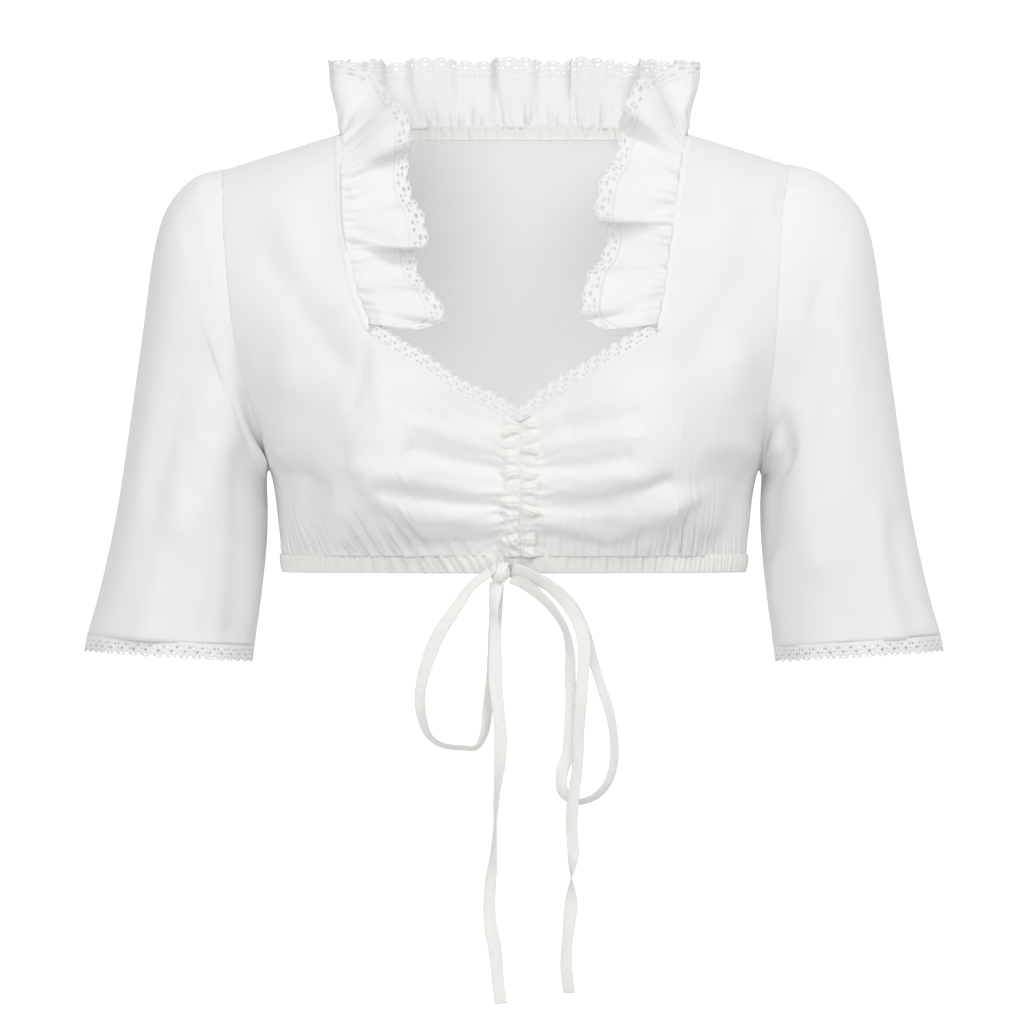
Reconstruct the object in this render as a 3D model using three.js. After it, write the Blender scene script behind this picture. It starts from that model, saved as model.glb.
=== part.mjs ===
import * as THREE from 'three';

// A cropped dirndl blouse with elbow-length sleeves, filled out as if it were worn, in millimetres.
// +X is the wearer's left, the front faces -Y and +Z is up. The origin lies on the ridge of the
// shoulders, midway between the two points where the shoulder seams meet the neck.
// Side -1 is the wearer's right and side 1 the wearer's left.

const RIGHT = -1;
const LEFT = 1;

// Walls and gaps
const CLOTH_WALL = 1.4;
const LACE_WALL = 1.0;
const TRIM_WALL = 1.0;
const SEAM_GAP = 0.3;
const ARMHOLE_GAP = 0.9;
const UNDERARM_GAP = 1.5;

// Heights of the body
const HEM_BOTTOM = -295;
const HEM_TOP = -284;
const CENTRE_TOP = -194;
const UNDERARM_Z = -226;

// Neck and shoulders
const NECK_HALF_WIDTH = 116;
const NECK_POINT_Z = -1;
const SHOULDER_SLOPE = 0.31;
const SHOULDER_ROUNDING = 48;
const BACK_NECK_RISE = 0.5;
const BACK_NECK_TURN_START = 60;
const BACK_NECK_TURN_END = 114;
const NECK_BAND_HEIGHT = 9.5;
const NECK_BAND_END_HEIGHT = 3;

// Cups
const CUP = { x: 88, z: -216, lift: 44, spreadX: 44, spreadUp: 55, spreadDown: 44, hemFade: 42,
  sideStart: 0.72, sideFade: 0.28 };

// Sleeves, as far as their folds need them
const SLEEVE_GIRTH = 320;
const SLEEVE_LENGTH = 300;
const SLEEVE_HEAD_SHARE = 0.3;
const SLEEVE_FOLD_START = 0.15;
const SLEEVE_ROW_SPREAD = 1.25;

// Centre seam and the drawstring channels beside it
const CENTRE_X = 4;
const CHANNEL_WIDTH = 11.5;
const CHANNEL_PUCKERS = 16;
const CHANNEL_PUCKER_HEIGHT = 1.5;
const CHANNEL_CLEARANCE = 0.6;

// Trims
const BINDING_WIDTH = 6;
const NECKLINE_LACE_START = 1.8;
const NECKLINE_LACE_HEIGHT = 10.5;
const CUFF_LACE_HEIGHT = 11;
const RUFFLE_HEIGHT = 38;
const RUFFLE_LACE_HEIGHT = 11;
const RUFFLE_LACE_GAP = 0.8;
const RUFFLE_CORNER = 13;
const RUFFLE_CORNER_START = 0.35;
const RUFFLE_FORWARD = 5;
const RUFFLE_END_FADE = 25;
const RUFFLE_SEAM_SWING = 0.5;
const RUFFLE_FRONT_LOBE = { swing: 7.5, overlap: 4, slip: 6.5, stretch: 0.1 };
const RUFFLE_BACK_LOBE = { swing: 4.6, overlap: 2.4, slip: 3, stretch: 0 };

// Gathers
const HEM_GATHERS = 90;
const HEM_GATHER_DEPTH = 1.1;
const BAND_GATHERS = 30;
const BAND_GATHER_DEPTH = 0.8;
const FRONT_GATHER = { depth: 1.2, spacing: 2.8, fade: 20 };
const BACK_GATHER = { depth: 1.1, spacing: 3.2, fade: 26 };

// How far the relief of a front takes to fade in from its top, its centre channel and its side
const RELIEF_FADE = { top: 30, centre: 11, side: 0.09, backSide: 0.08 };

// Columns and rows of each piece's mesh
const MESH = {
  front: { columns: 23, rows: 28 },
  back: { columns: 38, rows: 12 },
  sleeve: { columns: 24, rows: 12 },
  cuffLace: { columns: 40, rows: 1 },
  binding: { columns: 1, rows: 14 },
  necklineLace: { columns: 36, rows: 1 },
  ruffle: { columns: 110, rows: 3 },
  ruffleLace: { columns: 110, rows: 1 },
};

// Drawstring tape
const TAPE_WIDTH = 9;
const TAPE_THICKNESS = 1.3;
const TAPE_SIDES = 8;
const TAPE_SQUARENESS = 0.4;
const KNOT = { x: -9, y: -92.2, z: -294.5, halfX: 6.6, halfY: 6.8, halfZ: 6.8, plumpness: 0.7 };
const KNOT_SIDES = 12;
const KNOT_RINGS = 8;

const COTTON = { color: '#f4f2ee', roughness: 0.9, metalness: 0 };
const LACE = { color: '#f7f5f2', roughness: 0.95, metalness: 0 };
const TAPE = { color: '#f3f1ea', roughness: 0.85, metalness: 0 };

const { min, max, abs, sin, cos, sqrt, exp, hypot, PI, sign } = Math;
const { lerp, clamp } = THREE.MathUtils;

const smooth = (value) => THREE.MathUtils.smoothstep(value, 0, 1);

// Rows of plain numbers as a list of records with named columns.
function table(columns, rows) {
  const names = columns.split(' ');
  return rows.map((row) => Object.fromEntries(names.map((name, i) => [name, row[i]])));
}

// The value of a column where the key column has the given place, on a smooth curve through the rows.
function tableValue(rows, key, column, place) {
  const last = rows.length - 1;
  const spot = clamp(place, rows[0][key], rows[last][key]);
  let i = 0;
  while (i < last - 1 && spot > rows[i + 1][key]) i += 1;
  const slope = (j) => {
    const before = rows[max(j - 1, 0)];
    const after = rows[min(j + 1, last)];
    return (after[column] - before[column]) / (after[key] - before[key]);
  };
  const span = rows[i + 1][key] - rows[i][key];
  const t = (spot - rows[i][key]) / span;
  const h = 3 * t * t - 2 * t * t * t;
  const bend = t * (1 - t) * ((1 - t) * slope(i) - t * slope(i + 1)) * span;
  return rows[i][column] * (1 - h) + rows[i + 1][column] * h + bend;
}

// The body's sections from the hem up: half width, depth of front and back, and how square each is.
const BODY = table('z halfWidth front back square', [
  [-300, 154.2, 83, 75, 2.2],
  [-283, 155.5, 85, 77, 2.2],
  [-260, 158, 87, 80, 2.2],
  [-240, 160.5, 87, 82, 2.2],
  [-226, 164, 86, 84, 2.3],
  [-200, 177, 86, 85, 2.4],
  [-165, 194, 88, 86, 2.6],
  [-130, 211, 86, 85, 2.8],
  [-95, 220, 79, 80, 2.9],
  [-60, 222, 68, 74, 3],
  [-30, 222, 62, 71, 3],
  [0, 222, 58, 70, 3],
]);

// The neck edge of each front, from its lower corner up to the shoulder seam.
const NECK_EDGE = {
  [RIGHT]: table('x z', [[-94.5, -139], [-97, -127], [-102, -115], [-109, -86], [-113, -57], [-114, -30],
    [-NECK_HALF_WIDTH, NECK_POINT_Z]]),
  [LEFT]: table('x z', [[93.5, -139], [96, -127], [99, -112], [102.5, -88], [106, -66], [110, -34],
    [NECK_HALF_WIDTH, NECK_POINT_Z]]),
};

// The sweetheart edge of each front, from the centre seam out to the corner of the neck.
const SWEETHEART_EDGE = {
  [RIGHT]: table('x z', [[4, -196], [-19, -185.5], [-42, -175], [-62, -160.5], [-80, -150], [-94.5, -139]]),
  [LEFT]: table('x z', [[4, -196], [27, -180], [49.5, -166], [71, -153], [84, -145.5], [93.5, -139]]),
};

// The armhole seams, from the ridge of the shoulder down to the underarm.
const ARMHOLE = {
  [RIGHT]: table('x z', [[-195, -25.5], [-191, -89], [-185.5, -137], [-177, -175], [-169, -205],
    [-164, UNDERARM_Z]]),
  [LEFT]: table('x z', [[184, -22.1], [177.5, -60], [175, -106], [171.5, -158], [167, -192],
    [164, UNDERARM_Z]]),
};

// Each sleeve from its head to its cuff: the outermost and innermost points seen from the front,
// and half its depth from front to back.
const SLEEVE = table('t outerX outerZ innerX innerZ depth', [
  [0, 196, -26, 166, -227, 57],
  [0.12, 215, -31, 166.6, -231, 57],
  [0.25, 232, -50, 166.4, -237, 56],
  [0.36, 241, -78, 166, -244, 55],
  [0.5, 248.5, -132, 165.8, -255, 54],
  [0.64, 257, -193, 166.4, -273, 52],
  [0.78, 266, -253, 168.5, -297, 50],
  [0.9, 276, -300, 171.5, -322, 47],
  [1, 286, -338, 175, -345, 45],
]);

// Which stretch of each edge of a front the rows meet. Edges count on from 0, one for each curve:
// centre seam, sweetheart and neck inside, side seam and armhole outside.
const FRONT_ROWS = table('v inner outer', [
  [0, 0, 0],
  [0.33, 0.66, 1],
  [0.5, 1, 1.17],
  [0.68, 2, 1.42],
  [0.86, 2.8, 1.87],
]);

// Main folds of each front, through three places. A positive height is a ridge, a negative one a trough.
const FRONT_FOLDS = {
  [RIGHT]: table('x1 z1 x2 z2 x3 z3 height width', [
    [-104, -227, -62, -233, -12, -244, 3.6, 8],
    [-92, -240, -63, -260, -14, -260, 4.4, 8.5],
    [-64, -214, -40, -221, -8, -228, -3.4, 6],
    [-86, -240, -56, -246, -14, -251, -3.4, 5.5],
    [-58, -198, -30, -205, -4, -208, 2.4, 6],
    [-140, -205, -120, -240, -112, -270, 2.6, 9],
    [-152, -229, -138, -233, -124, -238, -4.2, 8],
    [-122, -42, -126, -68, -124, -95, -3, 14],
    [-92, -258, -60, -277, -16, -273, -3, 6.5],
  ]),
  [LEFT]: table('x1 z1 x2 z2 x3 z3 height width', [
    [18, -236, 48, -238, 84, -232, 3, 8],
    [20, -258, 66, -270, 114, -246, 4.6, 8.5],
    [22, -252, 58, -248, 100, -236, -3.8, 5.5],
    [22, -228, 48, -225, 72, -220, -2.8, 6],
    [38, -200, 58, -195, 76, -191, -2.6, 7],
    [22, -271, 62, -278, 96, -264, -3, 6],
    [150, -214, 138, -238, 130, -262, 2.8, 8],
    [168, -40, 148, -60, 128, -84, 2.6, 14],
  ]),
};

// Soft folds of the sleeves: places round the sleeve in turns from its top past the front, and down it.
const SLEEVE_FOLDS = {
  [RIGHT]: table('turn1 t1 turn2 t2 turn3 t3 height width', [
    [0.42, 0.16, 0.3, 0.45, 0.24, 0.75, 3, 15],
    [0.36, 0.3, 0.36, 0.55, 0.4, 0.9, -3, 14],
    [0.14, 0.25, 0.12, 0.55, 0.14, 0.9, 2, 18],
    [0.6, 0.2, 0.66, 0.5, 0.7, 0.85, 2.6, 15],
    [0.84, 0.3, 0.86, 0.6, 0.82, 0.9, -2, 17],
  ]),
  [LEFT]: table('turn1 t1 turn2 t2 turn3 t3 height width', [
    [0.46, 0.12, 0.4, 0.4, 0.43, 0.7, -3.2, 13],
    [0.38, 0.14, 0.3, 0.42, 0.3, 0.8, 2.8, 16],
    [0.12, 0.8, 0.13, 0.9, 0.12, 1, -2.2, 12],
    [0.62, 0.18, 0.68, 0.5, 0.66, 0.85, 2.6, 15],
    [0.86, 0.25, 0.84, 0.6, 0.87, 0.9, -2, 17],
  ]),
};

// The ruffle's lobes: how many waves have passed at each length of its seam.
const RUFFLE_TURNS = table('length turns', [[0, 0.35], [18, 0.75], [70, 1.75], [125, 2.75], [172, 3.75],
  [212, 4.75], [250, 5.75], [262, 6], [280, 6.3], [330, 7.2], [375, 8.1], [420, 9], [455, 9.8],
  [490, 10.75], [525, 11.75], [578, 12.75], [637, 13.75], [667, 14.15]]);

// How far up the ruffle leans along the front neck edges, in degrees from level.
const RUFFLE_LEAN = table('z angle', [[-133, -9], [-118, -7], [-98, 0], [-70, 3], [-45, 12],
  [-30, 21], [-14, 38], [-5, 66], [-1, 88]]);

// Drawstring routes from the knot, and how far each tape is turned from flat to the front, in degrees.
const TAPE_ROUTES = {
  tape_loop_right: table('x y z turn', [
    [-18.2, -93, -295.4, 20], [-28.4, -94, -303.6, 20], [-39.6, -95, -320, 10], [-48.2, -95, -333, 0],
    [-54.1, -94, -346, 0], [-58.7, -93, -360, 10], [-61.2, -92, -374, 15], [-60.2, -91, -388, 10],
    [-55.4, -90, -401, 0], [-47, -89.5, -407.2, 0], [-34, -88.5, -409.2, 0], [-24.5, -88, -409, 0],
    [-19.6, -88, -401, 0], [-17, -88.3, -384, 10], [-14.6, -88.5, -362, 10], [-13, -89, -336, 10],
    [-11.6, -89.5, -315, 0], [-10.6, -90, -302.2, 0],
  ]),
  tape_tail_right: table('x y z turn', [
    [-11.4, -93.8, -301.1, 0], [-13.6, -95.6, -320.8, 50], [-12.5, -95.6, -335, 20],
    [-12.3, -95.6, -350.5, 0], [-11.9, -95.6, -368, 0], [-9.9, -95.6, -386, 0], [-8.6, -95.6, -403, 10],
    [-9.2, -95.6, -421, 35], [-11.2, -95.6, -439, 65], [-12.5, -95.6, -458, 75], [-13.9, -95.6, -481, 60],
    [-15.8, -95.6, -501, 20], [-15.8, -95.6, -521, 0], [-12.5, -95.6, -540.5, -15], [-10.6, -95.6, -560, -10],
    [-8.6, -95.6, -576, 0],
  ]),
  tape_loop_left: table('x y z turn', [
    [-1.6, -92, -297.5, 0], [5, -92, -300.5, 0], [16.5, -92, -309.5, 0], [26.4, -92, -320, 0],
    [33.6, -92, -332, 10], [36.8, -92, -346, 20], [37, -92, -362, 30], [37.6, -92, -380, 30],
    [37, -92, -398, 30], [35.4, -91.5, -413, 40], [31.5, -91, -425, 30], [32, -90, -438, 0],
    [40, -89, -444.6, 0], [50, -88.5, -443, 0], [59, -88, -436, 0], [64.6, -87.5, -424, 0],
    [65.6, -87.5, -407, 20], [62.8, -87.5, -388, 25], [57, -87.5, -369.6, 20], [51, -87.5, -350, 10],
    [45.5, -87.5, -333, 0], [37.5, -87.5, -316, 0], [24, -87.5, -303.5, 0], [10, -88, -296.5, 0],
    [-1.8, -88.6, -293.2, 0],
  ]),
  tape_tail_left: table('x y z turn', [
    [-1.3, -96, -291.8, 0], [7.3, -97, -294.4, 0], [16.5, -97, -299.6, 0], [26.5, -97, -307, 0],
    [35.5, -97, -316, 0], [42.4, -97, -327, 0], [45.8, -97, -341, 10], [45, -97, -362, 30],
    [43.6, -97, -380, 20], [42.2, -97, -400, 20], [41.2, -97, -422, 30], [38.8, -97, -440, 45],
    [37.4, -97, -458, 55], [38.6, -97, -477, 40], [37.6, -97, -493, 10], [37.4, -97, -511, -20],
    [35, -97, -531, -40], [34, -97, -550, -10], [36, -97, -569, 0],
  ]),
};

const vector = (x, y, z) => new THREE.Vector3(x, y, z);

// A smooth curve in the front view through a table's x and z.
function edgeCurve(rows) {
  return new THREE.CatmullRomCurve3(rows.map((row) => vector(row.x, 0, row.z)), false, 'centripetal');
}

// How far a place lies from a line bent at three places.
function distanceToBend(px, pz, fold) {
  const legs = [
    [fold.x1, fold.z1, fold.x2, fold.z2],
    [fold.x2, fold.z2, fold.x3, fold.z3],
  ];
  return min(...legs.map(([ax, az, bx, bz]) => {
    const along = ((px - ax) * (bx - ax) + (pz - az) * (bz - az)) / ((bx - ax) ** 2 + (bz - az) ** 2);
    const t = clamp(along, 0, 1);
    return hypot(px - lerp(ax, bx, t), pz - lerp(az, bz, t));
  }));
}

// The summed height of a list of folds at a place: each is a soft ridge or trough along its line.
function foldHeight(folds, x, z) {
  const height = (fold) => fold.height * exp(-((distanceToBend(x, z, fold) / fold.width) ** 2));
  return folds.reduce((sum, fold) => sum + height(fold), 0);
}

const ridgeZ = (x) => NECK_POINT_Z - SHOULDER_SLOPE * (abs(x) - NECK_HALF_WIDTH);

// How far the cloth has come forward or back from the ridge of the shoulder, from 0 on it to 1 below it.
function shoulderRound(x, z) {
  const below = clamp((ridgeZ(x) - z) / SHOULDER_ROUNDING, 0, 1);
  return sqrt(1 - (1 - below) ** 2);
}

// The section's rounding from 1 at the middle to 0 at the side.
function sectionRound(x, z) {
  const reach = min(abs(x) / tableValue(BODY, 'z', 'halfWidth', z), 1);
  const square = tableValue(BODY, 'z', 'square', z);
  return (1 - reach ** square) ** (1 / square);
}

// The lift of both cups over the plain front.
function cupLift(x, z) {
  const reach = abs(x) / tableValue(BODY, 'z', 'halfWidth', z);
  const side = 1 - smooth((reach - CUP.sideStart) / CUP.sideFade);
  const hem = smooth((z - HEM_BOTTOM) / CUP.hemFade);
  const spreadZ = z > CUP.z ? CUP.spreadUp : CUP.spreadDown;
  const up = exp(-0.5 * ((z - CUP.z) / spreadZ) ** 2);
  const across = [-CUP.x, CUP.x].reduce((sum, cx) => sum + exp(-0.5 * ((x - cx) / CUP.spreadX) ** 2), 0);
  return CUP.lift * up * across * side * hem;
}

const frontY = (x, z) => -(tableValue(BODY, 'z', 'front', z) * sectionRound(x, z) * shoulderRound(x, z)
  + cupLift(x, z));

// The back is full right up to the middle of the neck and rounds over only towards the shoulders.
function backY(x, z) {
  const turn = smooth((abs(x) - BACK_NECK_TURN_START) / (BACK_NECK_TURN_END - BACK_NECK_TURN_START));
  const round = 1 - turn * (1 - shoulderRound(x, z));
  return tableValue(BODY, 'z', 'back', z) * sectionRound(x, z) * round;
}

// The height of the back's upper edge: the shoulder seams, and the neck rising a little between them.
function backTopZ(x) {
  if (abs(x) >= NECK_HALF_WIDTH) return ridgeZ(x);
  return NECK_POINT_Z + BACK_NECK_RISE * (1 - (x / NECK_HALF_WIDTH) ** 2);
}

// A closed wall of even thickness on both sides of a surface of columns and rows. Relief moves the
// surface out along its own normal first. A closed wall joins its last column to its first.
function wallGeometry({ columns, rows, point, thickness, closed = false, relief = null }) {
  const across = closed ? columns : columns + 1;
  const index = (i, j) => j * across + (closed ? (i + columns) % columns : i);
  const place = [];
  for (let j = 0; j <= rows; j += 1) {
    for (let i = 0; i < across; i += 1) place.push(point(i / columns, j / rows));
  }
  const normals = (surface) => surface.map((_, k) => {
    const i = k % across;
    const j = (k - i) / across;
    const left = surface[closed ? index(i - 1, j) : index(max(i - 1, 0), j)];
    const right = surface[closed ? index(i + 1, j) : index(min(i + 1, columns), j)];
    const below = surface[index(i, max(j - 1, 0))];
    const above = surface[index(i, min(j + 1, rows))];
    return right.clone().sub(left).cross(above.clone().sub(below)).normalize();
  });
  if (relief) {
    normals(place).forEach((normal, k) => {
      const i = k % across;
      const j = (k - i) / across;
      place[k] = place[k].clone().addScaledVector(normal, relief(i / columns, j / rows));
    });
  }
  const out = normals(place);
  const half = thickness / 2;
  const outer = place.map((spot, k) => spot.clone().addScaledVector(out[k], half));
  const inner = place.map((spot, k) => spot.clone().addScaledVector(out[k], -half));
  const count = place.length;
  const faces = [];
  const quad = (a, b, c, d) => faces.push(a, b, c, a, c, d);
  for (let j = 0; j < rows; j += 1) {
    for (let i = 0; i < columns; i += 1) {
      const [a, b, c, d] = [index(i, j), index(i + 1, j), index(i + 1, j + 1), index(i, j + 1)];
      quad(a, b, c, d);
      quad(count + b, count + a, count + d, count + c);
    }
  }
  for (let i = 0; i < columns; i += 1) {
    quad(index(i + 1, 0), index(i, 0), count + index(i, 0), count + index(i + 1, 0));
    quad(index(i, rows), index(i + 1, rows), count + index(i + 1, rows), count + index(i, rows));
  }
  if (!closed) {
    for (let j = 0; j < rows; j += 1) {
      quad(index(0, j), index(0, j + 1), count + index(0, j + 1), count + index(0, j));
      const [low, high] = [index(columns, j), index(columns, j + 1)];
      quad(high, low, count + low, count + high);
    }
  }
  return solidGeometry([...outer, ...inner], faces);
}

// A geometry from corner points and triangles, turned so that its faces point out.
function solidGeometry(corners, faces) {
  let volume = 0;
  for (let k = 0; k < faces.length; k += 3) {
    const [a, b, c] = [corners[faces[k]], corners[faces[k + 1]], corners[faces[k + 2]]];
    volume += a.dot(b.clone().cross(c));
  }
  if (volume < 0) faces.reverse();
  const geometry = new THREE.BufferGeometry();
  const numbers = corners.flatMap((corner) => corner.toArray());
  geometry.setAttribute('position', new THREE.Float32BufferAttribute(numbers, 3));
  geometry.setIndex(faces);
  geometry.computeVertexNormals();
  return geometry;
}

const blouse = new THREE.Group();
blouse.name = 'dirndl_blouse';

function addPiece(name, geometry, look) {
  const piece = new THREE.Mesh(geometry, new THREE.MeshStandardMaterial(look));
  piece.name = name;
  blouse.add(piece);
}

// A place along the inner or outer edge of a front, counted in curves from the hem up.
function frontEdges(side) {
  const topZ = SWEETHEART_EDGE[side][0].z;
  const centre = new THREE.LineCurve3(vector(CENTRE_X, 0, HEM_TOP), vector(CENTRE_X, 0, topZ));
  const sideSeam = new THREE.CatmullRomCurve3([HEM_TOP, -264, -245, UNDERARM_Z].map((z) => (
    vector(side * tableValue(BODY, 'z', 'halfWidth', z), 0, z))));
  const armhole = edgeCurve([...ARMHOLE[side]].reverse());
  const inner = [centre, edgeCurve(SWEETHEART_EDGE[side]), edgeCurve(NECK_EDGE[side])];
  const outer = [sideSeam, armhole];
  const placeOn = (curves, place) => {
    const k = min(Math.floor(place), curves.length - 1);
    return curves[k].getPointAt(clamp(place - k, 0, 1));
  };
  return { inner: (place) => placeOn(inner, place), outer: (place) => placeOn(outer, place) };
}

// The stretch of an edge that a row meets: straight between the table's rows, then slower and slower
// towards the shoulder seam, where the cloth rounds over.
function frontRow(v, column, end) {
  const last = FRONT_ROWS[FRONT_ROWS.length - 1];
  if (v > last.v) return end - (end - last[column]) * ((1 - v) / (1 - last.v)) ** 2;
  const i = FRONT_ROWS.findIndex((row) => v <= row.v);
  if (i === 0) return FRONT_ROWS[0][column];
  const [low, high] = [FRONT_ROWS[i - 1], FRONT_ROWS[i]];
  return lerp(low[column], high[column], (v - low.v) / (high.v - low.v));
}

// A place in a front panel, seen from the front, u from the inner to the outer edge and v from the hem up.
function frontPlace(edges, u, v) {
  const outerPlace = frontRow(v, 'outer', 2);
  const inner = edges.inner(frontRow(v, 'inner', 3));
  const outer = edges.outer(outerPlace);
  const even = smooth((outerPlace - 1) / 0.4);
  const share = lerp(sin(u * PI / 2), u, even);
  return { x: lerp(inner.x, outer.x, share), z: lerp(inner.z, outer.z, share) };
}

// Small gathers that rise from a gathered edge and fade above it.
function gatherHeight(place, height, fade) {
  const ripple = sin(place) * (0.75 + 0.25 * sin(place * 0.37 + 1));
  return ripple * exp(-max(height, 0) / fade);
}

// The relief of a front: its folds, and the gathers that rise from the hem.
function frontRelief(side, x, z) {
  const ripple = gatherHeight(abs(x) / FRONT_GATHER.spacing, z - HEM_TOP, FRONT_GATHER.fade);
  const top = smooth((ridgeZ(x) - z) / RELIEF_FADE.top);
  const centre = smooth((abs(x - CENTRE_X) - CHANNEL_WIDTH) / RELIEF_FADE.centre);
  return (foldHeight(FRONT_FOLDS[side], x, z) + FRONT_GATHER.depth * ripple) * top * centre;
}

// A point on a front at a place seen from the front, moved out by a distance along the surface's normal.
function onFront(side, x, z, out) {
  const step = 0.5;
  const slopeX = (frontY(x + step, z) - frontY(x - step, z)) / (2 * step);
  const slopeZ = (frontY(x, z + step) - frontY(x, z - step)) / (2 * step);
  const normal = vector(slopeX, -1, slopeZ).normalize();
  return vector(x, frontY(x, z), z).addScaledVector(normal, frontRelief(side, x, z) + out);
}

function addFront(name, side) {
  const edges = frontEdges(side);
  const inset = (value, start, end) => lerp(start, 1 - end, value);
  const place = (u, v) => frontPlace(edges, inset(u, 0.0012, 0.006), inset(v, 0.001, 0.005));
  addPiece(name, wallGeometry({
    ...MESH.front,
    thickness: CLOTH_WALL,
    point: (u, v) => {
      const spot = place(u, v);
      return vector(spot.x, frontY(spot.x, spot.z), spot.z);
    },
    relief: (u, v) => {
      const spot = place(u, v);
      return side * frontRelief(side, spot.x, spot.z) * smooth((1 - u) / RELIEF_FADE.side);
    },
  }), COTTON);
}

// The back: its columns spread evenly round the body at the hem, and along shoulders and neck at the top.
function addBack() {
  const edges = { [RIGHT]: frontEdges(RIGHT), [LEFT]: frontEdges(LEFT) };
  const shoulderShare = 0.2;
  const lastRows = { v: 0.8, outer: 1.85 };
  const topX = (a) => {
    const ends = [ARMHOLE[RIGHT][0].x, ARMHOLE[LEFT][0].x];
    if (a < shoulderShare) return lerp(ends[0], -NECK_HALF_WIDTH, a / shoulderShare);
    if (a > 1 - shoulderShare) return lerp(ends[1], NECK_HALF_WIDTH, (1 - a) / shoulderShare);
    return lerp(-NECK_HALF_WIDTH, NECK_HALF_WIDTH, (a - shoulderShare) / (1 - 2 * shoulderShare));
  };
  const place = (u, v) => {
    const toTop = (1 - v) / (1 - lastRows.v);
    const outer = v < lastRows.v ? lastRows.outer * v / lastRows.v : 2 - (2 - lastRows.outer) * toTop ** 2;
    const [right, left] = [edges[RIGHT].outer(outer), edges[LEFT].outer(outer)];
    const ends = [ARMHOLE[RIGHT][0], ARMHOLE[LEFT][0]];
    const roundShare = (1 - cos(u * PI)) / 2;
    const topShare = (topX(u) - ends[0].x) / (ends[1].x - ends[0].x);
    const share = lerp(roundShare, topShare, smooth(outer / 1.9));
    const x = lerp(right.x, left.x, share);
    const rise = backTopZ(x) - lerp(ends[0].z, ends[1].z, (x - ends[0].x) / (ends[1].x - ends[0].x));
    return { x, z: lerp(right.z, left.z, share) + rise * smooth(outer / 2) };
  };
  const inset = (value, amount) => lerp(amount, 1 - amount, value);
  addPiece('back', wallGeometry({
    ...MESH.back,
    thickness: CLOTH_WALL,
    point: (u, v) => {
      const spot = place(inset(u, 0.003), lerp(0.001, 0.995, v));
      return vector(spot.x, backY(spot.x, spot.z), spot.z);
    },
    relief: (u, v) => {
      const spot = place(u, v);
      const ripple = gatherHeight(spot.x / BACK_GATHER.spacing, spot.z - HEM_TOP, BACK_GATHER.fade);
      return -BACK_GATHER.depth * ripple * smooth((1 - abs(2 * u - 1)) / RELIEF_FADE.backSide);
    },
  }), COTTON);
}

// A point of the armhole seam, round from the ridge of the shoulder down the front and up the back.
function armholePoint(side, turn) {
  const angle = turn * 2 * PI;
  const spot = armholeCurves[side].getPointAt((1 - cos(angle)) / 2);
  const y = turn <= 0.5 ? frontY(spot.x, spot.z) : backY(spot.x, spot.z);
  return vector(spot.x, y, spot.z);
}

const armholeCurves = { [RIGHT]: edgeCurve(ARMHOLE[RIGHT]), [LEFT]: edgeCurve(ARMHOLE[LEFT]) };

// A plain ring of the sleeve, through its outermost and innermost points.
function sleeveRing(side, turn, t) {
  const value = (column) => tableValue(SLEEVE, 't', column, t);
  const angle = turn * 2 * PI;
  const share = (1 - cos(angle)) / 2;
  return vector(
    side * lerp(value('outerX'), value('innerX'), share),
    -sin(angle) * value('depth'),
    lerp(value('outerZ'), value('innerZ'), share),
  );
}

// A point of the sleeve: its head follows the armhole seam, just clear of it.
function sleevePoint(side, turn, t) {
  const underarm = ((1 - cos(turn * 2 * PI)) / 2) ** 6;
  const seam = armholePoint(side, turn);
  seam.x += side * lerp(ARMHOLE_GAP, UNDERARM_GAP + CLOTH_WALL / 2, underarm);
  seam.z -= UNDERARM_GAP * 0.6 * underarm;
  const pull = 1 - smooth(t / SLEEVE_HEAD_SHARE);
  return sleeveRing(side, turn, t).add(seam.sub(sleeveRing(side, turn, 0)).multiplyScalar(pull));
}

// The relief of a sleeve: its folds, counted in millimetres round it and down it.
function sleeveRelief(side, turn, t) {
  const folds = SLEEVE_FOLDS[side].map((fold) => ({
    x1: fold.turn1 * SLEEVE_GIRTH,
    z1: fold.t1 * SLEEVE_LENGTH,
    x2: fold.turn2 * SLEEVE_GIRTH,
    z2: fold.t2 * SLEEVE_LENGTH,
    x3: fold.turn3 * SLEEVE_GIRTH,
    z3: fold.t3 * SLEEVE_LENGTH,
    height: fold.height,
    width: fold.width,
  }));
  return foldHeight(folds, turn * SLEEVE_GIRTH, t * SLEEVE_LENGTH) * smooth(t / SLEEVE_FOLD_START);
}

function addSleeve(name, side) {
  addPiece(name, wallGeometry({
    ...MESH.sleeve,
    closed: true,
    thickness: CLOTH_WALL,
    point: (turn, v) => sleevePoint(side, turn, v ** SLEEVE_ROW_SPREAD),
    relief: (turn, v) => side * sleeveRelief(side, turn, v ** SLEEVE_ROW_SPREAD),
  }), COTTON);
}

function addCuffLace(name, side) {
  const fall = vector(side * 0.12, 0, -1).normalize();
  const drop = (v) => lerp(SEAM_GAP, CUFF_LACE_HEIGHT, v);
  addPiece(name, wallGeometry({
    ...MESH.cuffLace,
    closed: true,
    thickness: LACE_WALL,
    point: (turn, v) => sleevePoint(side, turn, 1).addScaledVector(fall, drop(v)),
  }), LACE);
}

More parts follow.
